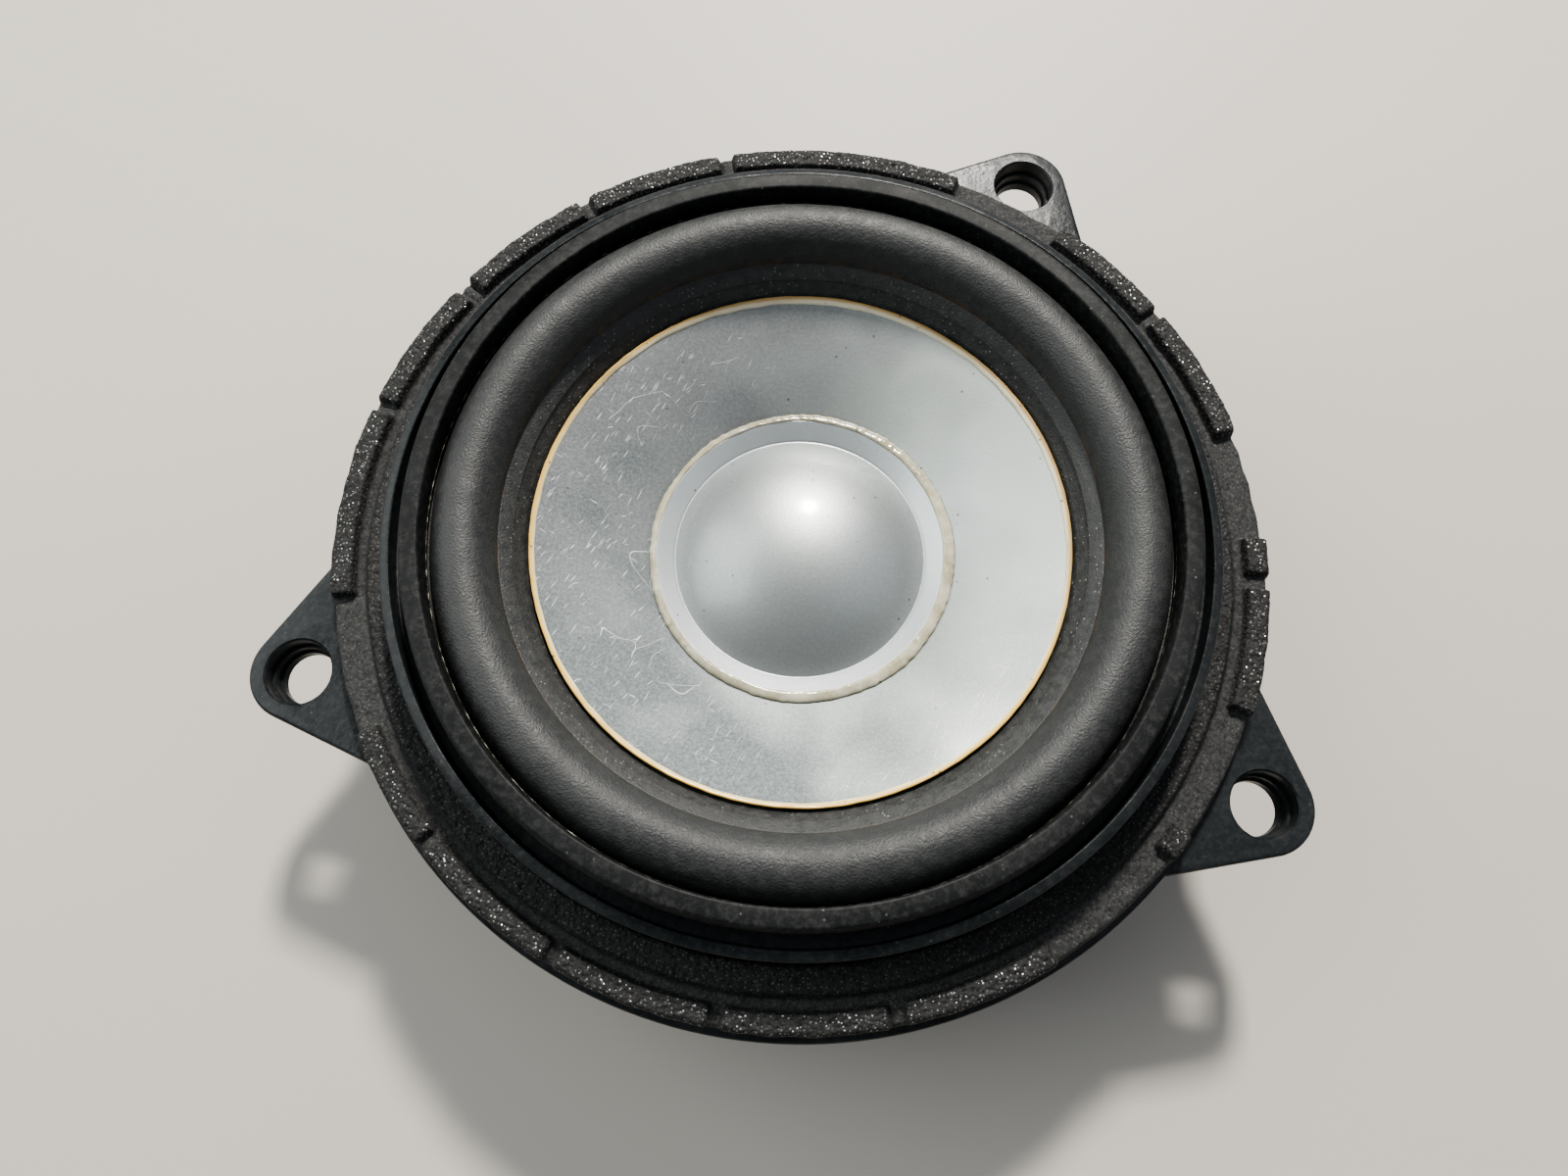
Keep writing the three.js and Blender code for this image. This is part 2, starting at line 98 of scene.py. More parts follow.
CREASE = Sizes(radius=15.14, top=23.5)
CUP = Sizes(radius=18.0, flange_bottom=10.6)
SCREW = Sizes(count=4, first=45, circle=21.6, hole=1.5, head=2.4, head_height=1.8)
SOCKET = Sizes(back=43.9, front=52.0, half_width=8.3, bottom=11.5, top=23.5, wall=1.3)
SOCKET_FLOOR = 20.0
BLADE = Sizes(offset=3.6, width=2.8, thickness=0.8, radius=47.95, tip=13.5)
TAB = Sizes(end=40.0, top=22.7)
LEAD_ROUTE = (
    (18.6, 23.3, 0.0), (20.4, 22.3, 0.05), (25.0, 21.5, 0.2), (31.0, 22.9, 0.55),
    (36.0, 24.8, 0.85), (39.2, 24.8, 0.98), (40.7, 23.6, 1.0),
)  # distance out, height, and share of the way from the joint's side place to the tab's
LEAD_JOINT = Sizes(radius=17.4, sideways=5.4)
SIDES = {"positive": 1, "negative": -1}


# ---------------- camera
def make_camera():
    """The photograph's view: close above the front edge, through a wide lens."""
    camera = bpy.data.objects.new("camera", bpy.data.cameras.new("camera"))
    bpy.context.scene.collection.objects.link(camera)
    camera.data.sensor_width = 36.0
    camera.data.lens = 24.75
    camera.data.clip_start = 0.01
    camera.location = Vector((0.0, -43.5, 147.5)) * MM
    aim = Vector((-1.57, -6.67, 31.2)) * MM
    camera.rotation_mode = "QUATERNION"
    turn = (aim - camera.location).to_track_quat("-Z", "Y")
    roll = Matrix.Rotation(math.radians(0.54), 3, "Z").to_quaternion()
    camera.rotation_quaternion = turn @ roll
    bpy.context.scene.camera = camera


make_camera()


# ---------------- mesh helpers
def new_object(name, vertices, faces, sharp=40):
    """A mesh object from vertices in millimetres, smooth but for edges sharper than that angle."""
    mesh = bpy.data.meshes.new(name)
    mesh.from_pydata([tuple(v) for v in np.asarray(vertices, float) * MM], [], faces)
    edit = bmesh.new()
    edit.from_mesh(mesh)
    bmesh.ops.remove_doubles(edit, verts=edit.verts, dist=1e-8)
    bmesh.ops.recalc_face_normals(edit, faces=edit.faces)
    edit.to_mesh(mesh)
    edit.free()
    soften(mesh, sharp)
    piece = bpy.data.objects.new(name, mesh)
    bpy.context.scene.collection.objects.link(piece)
    return piece


def soften(mesh, sharp=40):
    mesh.shade_smooth()
    mesh.set_sharp_from_angle(angle=math.radians(sharp))


def rounded(corners, steps=4):
    """An outline [x, y] whose corners (x, y, radius) are rounded by arcs."""
    points = []
    for i, (x, y, radius) in enumerate(corners):
        here = Vector((x, y))
        before = Vector(corners[i - 1][:2]) - here
        after = Vector(corners[(i + 1) % len(corners)][:2]) - here
        half = before.angle(after) / 2
        if radius == 0 or half > 1.55:
            points.append((x, y))
            continue
        reach = min(radius / math.tan(half), 0.48 * min(before.length, after.length))
        centre = here + (before.normalized() + after.normalized()).normalized() * reach / math.cos(half)
        start = here + before.normalized() * reach - centre
        end = here + after.normalized() * reach - centre
        sweep = math.atan2(start.x * end.y - start.y * end.x, start.dot(end))
        for k in range(steps + 1):
            turn = sweep * k / steps
            points.append(
                (
                    centre.x + start.x * math.cos(turn) - start.y * math.sin(turn),
                    centre.y + start.x * math.sin(turn) + start.y * math.cos(turn),
                )
            )
    return np.array(points)


def ring_faces(rings, steps, first=0, closed=False):
    """Quads that join each ring of vertices to the next, and the last to the first if closed."""
    faces = []
    for j in range(-1 if closed else 0, rings - 1):
        below, above = first + j % rings * steps, first + (j + 1) * steps
        for i in range(steps):
            ahead = (i + 1) % steps
            faces.append((below + i, below + ahead, above + ahead, above + i))
    return faces


def end_faces(rings, steps, first=0):
    """The two flat ends of a stack of rings."""
    last = first + (rings - 1) * steps
    return [tuple(range(first, first + steps))[::-1], tuple(range(last, last + steps))]


def around(steps):
    """The azimuths of a ring's steps, in radians."""
    return np.arange(steps) * 2 * np.pi / steps


def swept(outline, steps):
    """The radii and heights of an outline carried round a ring, as arrays [point, step]."""
    outline = np.asarray(outline, float)
    return np.repeat(outline[:, :1], steps, axis=1), np.repeat(outline[:, 1:], steps, axis=1)


def revolve(name, radius, height, on_axis=False, sharp=40):
    """A ring from arrays [outline point, azimuth step], closed unless it ends on the axis."""
    points, steps = radius.shape
    angle = around(steps)
    vertices = np.stack([radius * np.cos(angle), radius * np.sin(angle), height], -1)
    faces = ring_faces(points, steps, closed=not on_axis)
    return new_object(name, vertices.reshape(-1, 3), faces, sharp)


def lathe(name, outline, on_axis=False, steps=AROUND, sharp=40):
    """A plain ring or disc from one outline of (radius, height) points."""
    return revolve(name, *swept(outline, steps), on_axis, sharp)


def prism(name, outline, bottom, top, bevel=0.0):
    """A plate standing on an outline in XY, its top and bottom edges rounded by bevel."""
    outline = np.asarray(outline, float)
    ahead = np.roll(outline, -1, axis=0) - outline
    behind = outline - np.roll(outline, 1, axis=0)
    ahead /= np.linalg.norm(ahead, axis=1)[:, None]
    behind /= np.linalg.norm(behind, axis=1)[:, None]
    inward = np.stack([-(ahead + behind)[:, 1], (ahead + behind)[:, 0]], -1)
    inward /= np.linalg.norm(inward, axis=1)[:, None]
    following = np.roll(outline, -1, axis=0)
    area = np.sum(outline[:, 0] * following[:, 1] - outline[:, 1] * following[:, 0])
    inward *= np.sign(area)
    turns = np.linspace(0, np.pi / 2, 4) if bevel else np.array([np.pi / 2])
    insets = bevel * (1 - np.sin(turns))
    lifts = bevel * (1 - np.cos(turns))
    layers = [(inset, bottom + lift) for inset, lift in zip(insets, lifts)]
    layers += [(inset, top - lift) for inset, lift in zip(insets[::-1], lifts[::-1])]
    count = len(outline)
    vertices = np.concatenate(
        [np.column_stack([outline + inward * inset, np.full(count, z)]) for inset, z in layers]
    )
    faces = ring_faces(len(layers), count) + end_faces(len(layers), count)
    return new_object(name, vertices, faces)


def turned(piece, azimuth, offset=(0, 0, 0), tilt=None):
    """Moves a piece's mesh: tilt, then offset, then a turn about the speaker's axis."""
    place = Matrix.Rotation(math.radians(azimuth), 4, "Z") @ Matrix.Translation(Vector(offset) * MM)
    piece.data.transform(place @ tilt if tilt else place)
    return piece


def combine(target, tools, operation):
    """Joins to target, or cuts from it, closed meshes, which are used up."""
    for tool in tools:
        change = target.modifiers.new("boolean", "BOOLEAN")
        change.operation = operation
        change.solver = "EXACT"
        change.object = tool
    graph = bpy.context.evaluated_depsgraph_get()
    mesh = bpy.data.meshes.new_from_object(target.evaluated_get(graph))
    target.modifiers.clear()
    target.data = mesh
    for tool in tools:
        bpy.data.objects.remove(tool)
    soften(mesh, 35)


def wave(azimuth, seed, lowest, highest, amplitude):
    """Smooth noise round the ring: sines of whole frequencies with seeded phases."""
    draw = np.random.RandomState(seed)
    total = np.zeros_like(azimuth)
    for frequency in range(lowest, highest + 1):
        total += draw.normal() * np.sin(frequency * azimuth + draw.uniform(0, 2 * np.pi))
    return amplitude * total / math.sqrt((highest - lowest + 1) / 2)


def grain(shape, seed, passes):
    """Random heights for a grid, blurred a few times, with a spread of about 1."""
    field = np.random.RandomState(seed).normal(size=shape)
    for _ in range(passes):
        field = (
            field
            + np.roll(field, 1, 0)
            + np.roll(field, -1, 0)
            + np.roll(field, 1, 1)
            + np.roll(field, -1, 1)
        ) / 5
    return field / field.std()


def smoothstep(low, high, value):
    t = np.clip((value - low) / (high - low), 0, 1)
    return t * t * (3 - 2 * t)


# ---------------- material helpers
LOOKS = {}  # every material by the name of its slot


class Value:
    """What comes out of a node, with arithmetic that adds Math nodes. a | b is the larger."""

    def __init__(self, look, socket):
        self.look = look
        self.socket = socket

    def __add__(self, other):
        return self.look.math("ADD", self, other)

    def __sub__(self, other):
        return self.look.math("SUBTRACT", self, other)

    def __mul__(self, other):
        return self.look.math("MULTIPLY", self, other)

    def __or__(self, other):
        return self.look.math("MAXIMUM", self, other)

    def __abs__(self):
        return self.look.math("ABSOLUTE", self)


class Look:
    """A node material under construction, with short calls for the nodes it is made of."""

    def __init__(self, name, **fixed):
        self.material = bpy.data.materials.new(name)
        LOOKS[name] = self.material
        self.material.use_nodes = True
        self.tree = self.material.node_tree
        self.tree.nodes.clear()
        self.shader = self.tree.nodes.new("ShaderNodeBsdfPrincipled")
        output = self.tree.nodes.new("ShaderNodeOutputMaterial")
        self.tree.links.new(self.shader.outputs[0], output.inputs["Surface"])
        self.place = self.node("TexCoord", {}, "Object")
        self.set(**fixed)

    def set(self, **values):
        """Sets sockets of the shader: base_color=..., roughness=... and so on."""
        for key, value in values.items():
            name = key.replace("_", " ").title().replace("Ior", "IOR")
            self.feed(self.shader.inputs[name], value)

    def feed(self, socket, value):
        if isinstance(value, Value):
            self.tree.links.new(value.socket, socket)
        elif socket.type == "RGBA":
            socket.default_value = (*value, 1.0)
        else:
            socket.default_value = value

    def node(self, kind, inputs, output=0, **settings):
        made = self.tree.nodes.new("ShaderNode" + kind)
        for key, value in settings.items():
            setattr(made, key, value)
        for key, value in inputs.items():
            self.feed(made.inputs[key], value)
        return Value(self, made.outputs[output])

    def noise(self, scale, detail=2.0, roughness=0.5, place=None):
        inputs = {"Vector": place or self.place, "Scale": scale, "Detail": detail, "Roughness": roughness}
        return self.node("TexNoise", inputs, "Fac")

    def cells(self, scale, output="Distance", place=None):
        return self.node("TexVoronoi", {"Vector": place or self.place, "Scale": scale}, output)

    def math(self, operation, *values):
        return self.node("Math", dict(enumerate(values)), operation=operation)

    def ramp(self, factor, low, high, start=0.0, end=1.0):
        """Maps factor from low..high to start..end, clamped."""
        inputs = {"Value": factor, "From Min": low, "From Max": high, "To Min": start, "To Max": end}
        return self.node("MapRange", inputs, "Result")

    def mix(self, factor, first, second, kind="RGBA"):
        made = self.tree.nodes.new("ShaderNodeMix")
        made.data_type = kind
        sockets = [s for s in made.inputs if s.enabled]
        for socket, value in zip(sockets, (factor, first, second)):
            self.feed(socket, value)
        return Value(self, next(s for s in made.outputs if s.enabled))

    def stretched(self, angle, along, across):
        """Object coordinates turned about Z, then squeezed along and across, for streaks."""
        scale = (1 / along, 1 / across, 1.0)
        inputs = {"Vector": self.place, "Rotation": (0, 0, math.radians(angle)), "Scale": scale}
        return self.node("Mapping", inputs, vector_type="TEXTURE")

    def along(self, axis):
        """The coordinate along X, Y or Z, in metres."""
        return self.node("SeparateXYZ", {"Vector": self.place}, axis)

    def axis_distance(self):
        """Distance from the speaker's axis, in millimetres."""
        x, y = self.along("X"), self.along("Y")
        return self.math("SQRT", x * x + y * y) * (1 / MM)

    def drawn(self, scale, share, place, channel="Red"):
        """1 in a random share of the cells and 0 in the others."""
        chance = self.node("SeparateColor", {"Color": self.cells(scale, "Color", place)}, channel)
        return self.math("LESS_THAN", chance, share)

    def specks(self, scale, size, share, seed=0.0):
        """Small round dots, one in each of a share of the cells. Size is a fraction of a cell."""
        place = self.node("Mapping", {"Vector": self.place, "Location": (seed, seed, seed)})
        dots = self.ramp(self.cells(scale, place=place), size, size * 0.5)
        return dots * self.drawn(scale, share, place)

    def bump(self, height, strength, distance):
        """Bumps whose full height is distance, in millimetres. Returns the bumped normal."""
        normal = self.node("Bump", {"Height": height, "Strength": strength, "Distance": distance * MM})
        self.set(normal=normal)
        return normal


# ---------------- materials
DUST = (0.22, 0.22, 0.21)
PARTING_LINE = 34.0  # radius of the surround's moulded parting line
FOAM_CELLS = 2500  # cells per metre
FOAM_RISE = (29.25, 29.8)  # heights between which pressed foam turns into foam that stands proud
SCRATCH_WIDTH = 0.19  # as a fraction of a cell
SCRATCHES = (
    (62, 260, 4300, 0.36), (53, 340, 4600, 0.3), (70, 200, 4900, 0.2),
    (-25, 300, 4600, 0.05), (20, 420, 4300, 0.08),
)  # angle, cells per metre along and across, share of the cells with a scratch


def shade(color, factor):
    return [channel * factor for channel in color]


def plastic_look(name, dark, light, roughness, dust, sheen=0.45, coarse=0.0, waviness=4.0):
    """Moulded plastic: fine grain, uneven sheen, and dust in specks and faint patches."""
    look = Look(name, specular_ior_level=sheen)
    patches = look.noise(120, 4)
    where = look.ramp(look.noise(210, 3, 0.6), 0.45, 0.65)
    dots = (look.specks(1500, 0.26, 0.22) | look.specks(750, 0.14, 0.22, 0.3)) * 0.6 * where
    film = look.ramp(look.noise(1300, 4, 0.7), 0.45, 0.75) * 0.2
    body = look.mix(look.ramp(patches, 0.3, 0.7), dark, light)
    look.set(base_color=look.mix((dots | film) * dust, body, DUST))
    look.set(roughness=look.ramp(patches, 0.35, 0.65, roughness - 0.07, roughness + 0.08))
    mottle = look.noise(620, 3, 0.65) * (14.0 * coarse)
    look.bump(look.noise(3200, 2) + look.noise(110, 1) * waviness + mottle, 0.3, 0.02)


def rubber_look():
    """Moulded rubber: leathery grain, a dusty bloom, and a brown broken parting line."""
    look = Look("surround_rubber", specular_ior_level=0.5)
    patches = look.ramp(look.noise(70, 4, 0.6), 0.35, 0.65)
    bloom = look.noise(900, 3, 0.7)
    body = look.mix(patches, (0.0163, 0.0175, 0.0177), (0.0245, 0.0258, 0.0256))
    body = look.mix(look.ramp(bloom, 0.45, 0.75, 0.0, 0.4), body, (0.055, 0.055, 0.053))
    radius = look.axis_distance()
    inner = look.ramp(radius, 34.4, 33.4, 0.12, 1.0)
    body = look.mix(look.ramp(bloom, 0.35, 0.7) * inner, body, (0.042, 0.043, 0.042))
    dots = look.specks(1900, 0.26, 0.45) | look.specks(1100, 0.14, 0.1, 0.4)
    where = look.ramp(look.noise(170, 3), 0.38, 0.6) * inner
    body = look.mix(dots * where, body, (0.20, 0.19, 0.18))
    broken = look.ramp(look.noise(420, 2), 0.5, 0.6, 0.0, 0.8)
    line = look.ramp(abs(radius - PARTING_LINE), 0.11, 0.05) * broken
    look.set(base_color=look.mix(line, body, (0.06, 0.042, 0.03)))
    look.set(roughness=look.ramp(bloom, 0.3, 0.7, 0.46, 0.64))
    look.bump(look.noise(3600, 2, 0.6) + bloom * 0.4, 0.8, 0.1)


def facets(look, where, bumped, colors):
    """Turns the bumped normal at random, cell by cell, where the factor is 1."""
    random = look.node("VectorMath", {0: colors, 1: (0.5, 0.5, 0.5)}, operation="SUBTRACT")
    flat = look.node("NewGeometry", {}, "Normal")
    turned_normal = look.node("VectorMath", {0: flat, 1: random}, operation="ADD")
    blended = look.mix(where, bumped, turned_normal, "VECTOR")
    look.set(normal=look.node("VectorMath", {0: blended}, operation="NORMALIZE"))


def foam_look():
    """Closed-cell foam: cut cells that glint where it stands proud, a close skin where pressed."""
    look = Look("gasket_foam", specular_ior_level=0.3)
    raised = look.ramp(look.along("Z"), FOAM_RISE[0] * MM, FOAM_RISE[1] * MM)
    soft = look.noise(2600, 4, 0.7)
    uneven = look.ramp(soft, 0.35, 0.65)
    pressed = look.mix(uneven, (0.010, 0.0102, 0.0102), (0.046, 0.0462, 0.0455))
    proud = look.mix(uneven, (0.006, 0.006, 0.006), (0.031, 0.031, 0.030))
    # Painted shade: glints thin out on the inner band beside the collar, where the collar's shadow falls, all
    # round the ring.
    outward = look.ramp(look.axis_distance(), FOAM.band, FOAM.pad_inner, 0.25, 1.0)
    glint = look.specks(FOAM_CELLS, 0.33, 0.8) * look.ramp(raised, 0.0, 1.0, 0.15, 1.0) * outward
    look.set(base_color=look.mix(glint, look.mix(raised, pressed, proud), (0.27, 0.27, 0.26)))
    look.set(metallic=look.ramp(glint, 0.3, 0.7), roughness=look.ramp(glint, 0.0, 1.0, 0.75, 0.3))
    cells = look.cells(FOAM_CELLS) * look.ramp(raised, 0.0, 1.0, 0.25, 1.0)
    bumped = look.bump(cells + soft * 0.6, 0.9, 0.12)
    facets(look, glint, bumped, look.cells(FOAM_CELLS, "Color"))


def streaks(look, angle, along, across, share, seed):
    """Short fine scratches in one direction, at a share of the places for one."""
    place = look.stretched(angle, along, across)
    place = look.node("Mapping", {"Vector": place, "Location": (seed, 0, 0)})
    line = look.ramp(look.cells(1.0, place=place), SCRATCH_WIDTH, SCRATCH_WIDTH * 0.4)
    return line * look.drawn(1.0, share, place, "Green")


def wandering_line(look, scale, level, width, lowest):
    """A few long curved hairlines, broken where a second noise is low."""
    line = look.ramp(abs(look.noise(scale, 1.0) - level), width, width * 0.4)
    return line * look.ramp(look.noise(95, 1), lowest, lowest + 0.02)


def aluminium_look(name, painted_light_and_shade_tints, roughness, scratched, lacquer=0.0):
    """Satin aluminium: painted light and shade (darker near left, lighter far right, a painted shaded wedge
    far left), sparkling grain, dirt, scratches.
    """
    near_left_painted_shade_tint, far_right_painted_light_tint, far_left_painted_shade_tint = painted_light_and_shade_tints
    look = Look(name, coat_weight=lacquer, coat_roughness=0.16)
    smudge = look.noise(45, 4, 0.6)
    sparkle = look.noise(3000, 3, 0.7)
    x, y = look.along("X"), look.along("Y")
    uneven = (look.noise(75, 2) - 0.5) * 0.05
    left = look.ramp(x + uneven, -0.006, -0.019, 0.06, 1.0)
    corner = look.ramp(x - y + uneven, 0.030, 0.042, 0.0, 0.9)
    lines = 0.0
    for seed, scratch in enumerate(SCRATCHES, 1):
        lines = streaks(look, *scratch, seed) | lines
    lines = lines * look.ramp(look.noise(500, 1), 0.35, 0.6, 0.25, 1.0)
    hair = wandering_line(look, 80, 0.47, 0.0014, 0.56) | wandering_line(look, 130, 0.6, 0.0018, 0.60)
    scratches = (lines * (left | corner) | hair * (left * 0.6)) * scratched
    # Painted light and shade: tone runs from the near-left painted shade tint to the far-right painted light
    # tint, and the far-left wedge is painted shade.
    tone = look.ramp(x * 0.77 + y * 0.64 + uneven, -0.024, 0.022)
    far_left_painted_shade = look.ramp(y * 0.82 - x * 0.57 + uneven, 0.008, 0.026, 0.0, 0.6)
    body = look.mix(tone, near_left_painted_shade_tint, far_right_painted_light_tint)
    body = look.mix(look.ramp(smudge, 0.3, 0.7, 0.0, 0.12), body, far_right_painted_light_tint)
    body = look.mix(far_left_painted_shade, body, far_left_painted_shade_tint)
    body = look.mix(look.ramp(sparkle, 0.4, 0.75, 0.0, 0.35), body, (0.45, 0.48, 0.485))
    body = look.mix(scratches, body, (0.98, 0.98, 0.96))
    satin = look.ramp(smudge, 0.3, 0.7, roughness - 0.015, roughness + 0.02)
    satin = satin + look.ramp(tone, 0.0, 0.8, 0.2 * scratched, 0.0)
    look.set(roughness=satin + scratches * 0.15)
    rim = look.ramp(look.axis_distance(), CREASE.radius, CREASE.radius + 0.3, 0.0, lacquer)
    rim = rim * look.ramp(smudge, 0.3, 0.7, 0.8, 1.0)
    body = look.mix(rim, body, (0.70, 0.74, 0.75))
    look.set(metallic=look.ramp(scratches | rim, 0.0, 1.0, 0.8, 0.25))
    pits = look.specks(330, 0.065, 0.35) | look.specks(900, 0.17, 0.05, 0.6)
    look.set(base_color=look.mix(pits * 0.8, body, (0.10, 0.09, 0.08)))
    look.bump(sparkle * 1.4 + scratches * 0.8, 0.6, 0.02)


def glue_look(name, pale, deep, scale, roughness):
    """Set glue: translucent and glossy, uneven in colour, with painted shade on its far side, dirt and
    trapped bubbles.
    """
    look = Look(name, subsurface_weight=0.3, subsurface_radius=(1.0, 0.7, 0.4), subsurface_scale=0.0005)
    look.set(coat_weight=0.4, coat_roughness=0.12)
    fine = look.noise(scale * 7, 3, 0.6)
    dirt = look.specks(800, 0.22, 0.10) | look.ramp(look.noise(900, 2), 0.68, 0.76, 0.0, 0.5)
    body = look.mix(look.ramp(look.noise(scale, 3, 0.6), 0.35, 0.65), pale, deep)
    # Painted shade: darker towards the far side (+Y).
    body = look.mix(look.ramp(look.along("Y"), 0.008, 0.018, 0.0, 0.7), body, shade(deep, 0.6))
    look.set(base_color=look.mix(dirt * 0.7, body, shade(deep, 0.3)))
    look.set(roughness=look.ramp(fine, 0.3, 0.7, roughness - 0.08, roughness + 0.15))
    look.bump(fine + look.specks(1700, 0.4, 0.3, 0.5), 0.35, 0.05)


def amber_look():
    """The edge glue: pale where it lies on the metal, gold to brown towards the rubber."""
    look = Look("amber_glue", subsurface_weight=0.2, subsurface_radius=(1.0, 0.6, 0.2))
    look.set(subsurface_scale=0.0004, coat_weight=0.3, coat_roughness=0.15)
    outward = look.ramp(look.axis_distance(), 30.5, 31.2)
    patches = look.noise(90, 3, 0.6)
    nearness = look.along("Y") + look.along("X") * 0.5 + patches * 0.02
    gold = look.ramp(nearness, 0.035, 0.0, 0.1, 1.0)
    pale = look.mix(gold, (0.66, 0.61, 0.48), (0.90, 0.76, 0.42))
    deep = look.mix(gold, (0.32, 0.21, 0.09), (0.66, 0.43, 0.11))
    body = look.mix(look.ramp(outward + patches * 0.5, 0.35, 0.9), pale, deep)
    spots = look.specks(1300, 0.25, 0.16) | look.specks(600, 0.13, 0.12, 0.4)
    look.set(base_color=look.mix(spots * 0.8, body, (0.12, 0.06, 0.02)))
    look.set(roughness=look.ramp(patches, 0.3, 0.7, 0.22, 0.42))
    look.bump(look.noise(1500, 3, 0.6), 0.5, 0.05)


def metal_look(name, color, roughness, angle=0.0):
    """Plated or machined metal: fine drawn streaks, smudges and a little tarnish."""
    look = Look(name, metallic=1.0)
    streak = look.noise(1.0, 3, 0.6, look.stretched(angle, 150, 4200))
    smudge = look.noise(110, 4, 0.6)
    tarnish = look.ramp(smudge, 0.52, 0.75, 0.0, 0.5)
    look.set(base_color=look.mix(tarnish, color, shade(color, 0.55)))
    look.set(roughness=look.ramp(streak, 0.3, 0.7, roughness - 0.06, roughness + 0.1))
    look.bump(streak + smudge, 0.15, 0.01)


def cloth_look():
    """Resin-dipped spider cloth: an open square weave in a warm tan."""
    look = Look("spider_cloth", roughness=0.85)
    threads = []
    for angle in (0, 90):
        inputs = {"Vector": look.stretched(angle, 1.0, 1.0), "Scale": 480.0, "Distortion": 0.6}
        threads.append(look.node("TexWave", inputs, "Fac", bands_direction="X"))
    weave = threads[0] | threads[1]
    body = look.mix(look.ramp(look.noise(140, 3), 0.3, 0.7), (0.46, 0.31, 0.11), (0.36, 0.23, 0.07))
    look.set(base_color=look.mix(look.ramp(weave, 0.2, 0.8), (0.14, 0.085, 0.025), body))
    look.bump(weave, 0.8, 0.08)


def braid_look():
    """Copper tinsel braid."""
    look = Look("lead_braid", metallic=0.9)
    strands = look.noise(1.0, 2, 0.5, look.stretched(35, 900, 4000))
    look.set(base_color=look.mix(strands, (0.75, 0.45, 0.22), (0.35, 0.18, 0.08)))
    look.set(roughness=look.ramp(strands, 0.3, 0.7, 0.3, 0.55))
    look.bump(strands, 0.6, 0.05)


BASKET_COLORS = (0.0085, 0.0105, 0.0115), (0.0145, 0.0172, 0.0188)
TRIM_COLORS = (0.0075, 0.0085, 0.0085), (0.0135, 0.0148, 0.0148)
# Painted light and shade tints: near-left painted shade, far-right painted light, far-left painted shade.
CONE_PAINTED_LIGHT_AND_SHADE_TINTS = (0.103, 0.119, 0.125), (0.43, 0.46, 0.435), (0.122, 0.117, 0.13)
DOME_PAINTED_LIGHT_AND_SHADE_TINTS = (0.30, 0.32, 0.315), (0.31, 0.33, 0.33), (0.30, 0.32, 0.325)

plastic_look("basket_plastic", *BASKET_COLORS, 0.34, 0.4, sheen=0.24, coarse=1.1, waviness=60.0)
plastic_look("trim_plastic", *TRIM_COLORS, 0.52, 0.6, sheen=0.14)
plastic_look("connector_plastic", (0.007, 0.007, 0.008), (0.011, 0.011, 0.012), 0.5, 0.3)
foam_look()
rubber_look()
aluminium_look("cone_aluminium", CONE_PAINTED_LIGHT_AND_SHADE_TINTS, 0.48, 1.0)
aluminium_look("dome_aluminium", DOME_PAINTED_LIGHT_AND_SHADE_TINTS, 0.43, 0.4, lacquer=0.5)
glue_look("cream_glue", (0.50, 0.475, 0.38), (0.34, 0.31, 0.21), 330, 0.18)
amber_look()
glue_look("dark_glue", (0.045, 0.032, 0.022), (0.02, 0.014, 0.01), 300, 0.25)
plastic_look("former_film", (0.36, 0.17, 0.05), (0.30, 0.13, 0.035), 0.35, 0.0)
metal_look("coil_copper", (0.80, 0.38, 0.20), 0.3)
cloth_look()
metal_look("motor_steel", (0.56, 0.58, 0.60), 0.34, 25)
metal_look("magnet_nickel", (0.68, 0.67, 0.63), 0.22)
metal_look("screw_steel", (0.42, 0.42, 0.42), 0.3)
metal_look("terminal_tin", (0.76, 0.74, 0.68), 0.25, 80)
braid_look()


def dress(piece, slot_name):
    """Gives a piece its material and names the record's slot."""
    piece.data.materials.clear()
    piece.data.materials.append(LOOKS[slot_name])


def fit(piece, body, slot_name, *nodes):
    """A finished rigid piece: its material, the body it rides on and the CAD nodes it stands for."""
    dress(piece, slot_name)
    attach(piece, body)
    if nodes:
        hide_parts(*nodes)


def out_from_axis(places):
    return np.hypot(places[:, 0], places[:, 1])


def flex(piece, slot_name, node, fixed, moving, distance):
    """A finished piece from the frame, at distance fixed, to the cone, at moving: it gets its material and
    its CAD node is hidden.
    """
    dress(piece, slot_name)
    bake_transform(piece)
    places = np.zeros(len(piece.data.vertices) * 3)
    piece.data.vertices.foreach_get("co", places)
    share = smoothstep(fixed, moving, distance(places.reshape(-1, 3) / MM))
    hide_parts(node)


# ---------------- basket
def ear_outline():
    """An ear that points along X: its round tip, tangent sides, and a root inside the flange."""
    half_span = math.radians(EAR.half_span)
    root_x = (FLANGE.radius - 0.1) * math.cos(half_span)
    root_y = (FLANGE.radius - 0.1) * math.sin(half_span)
    reach = math.hypot(root_x - EAR.circle, root_y)
    tangent = math.atan2(root_y, root_x - EAR.circle) - math.acos(EAR.tip / reach)
    turns = np.linspace(-tangent, tangent, 25)
    tip = np.column_stack([EAR.circle + EAR.tip * np.cos(turns), EAR.tip * np.sin(turns)])
    inside, narrowed = FLANGE.radius - 3.2, root_y * 0.9
    root = [[root_x, root_y], [inside, narrowed], [inside, -narrowed], [root_x, -root_y]]
    return np.concatenate([tip, root])


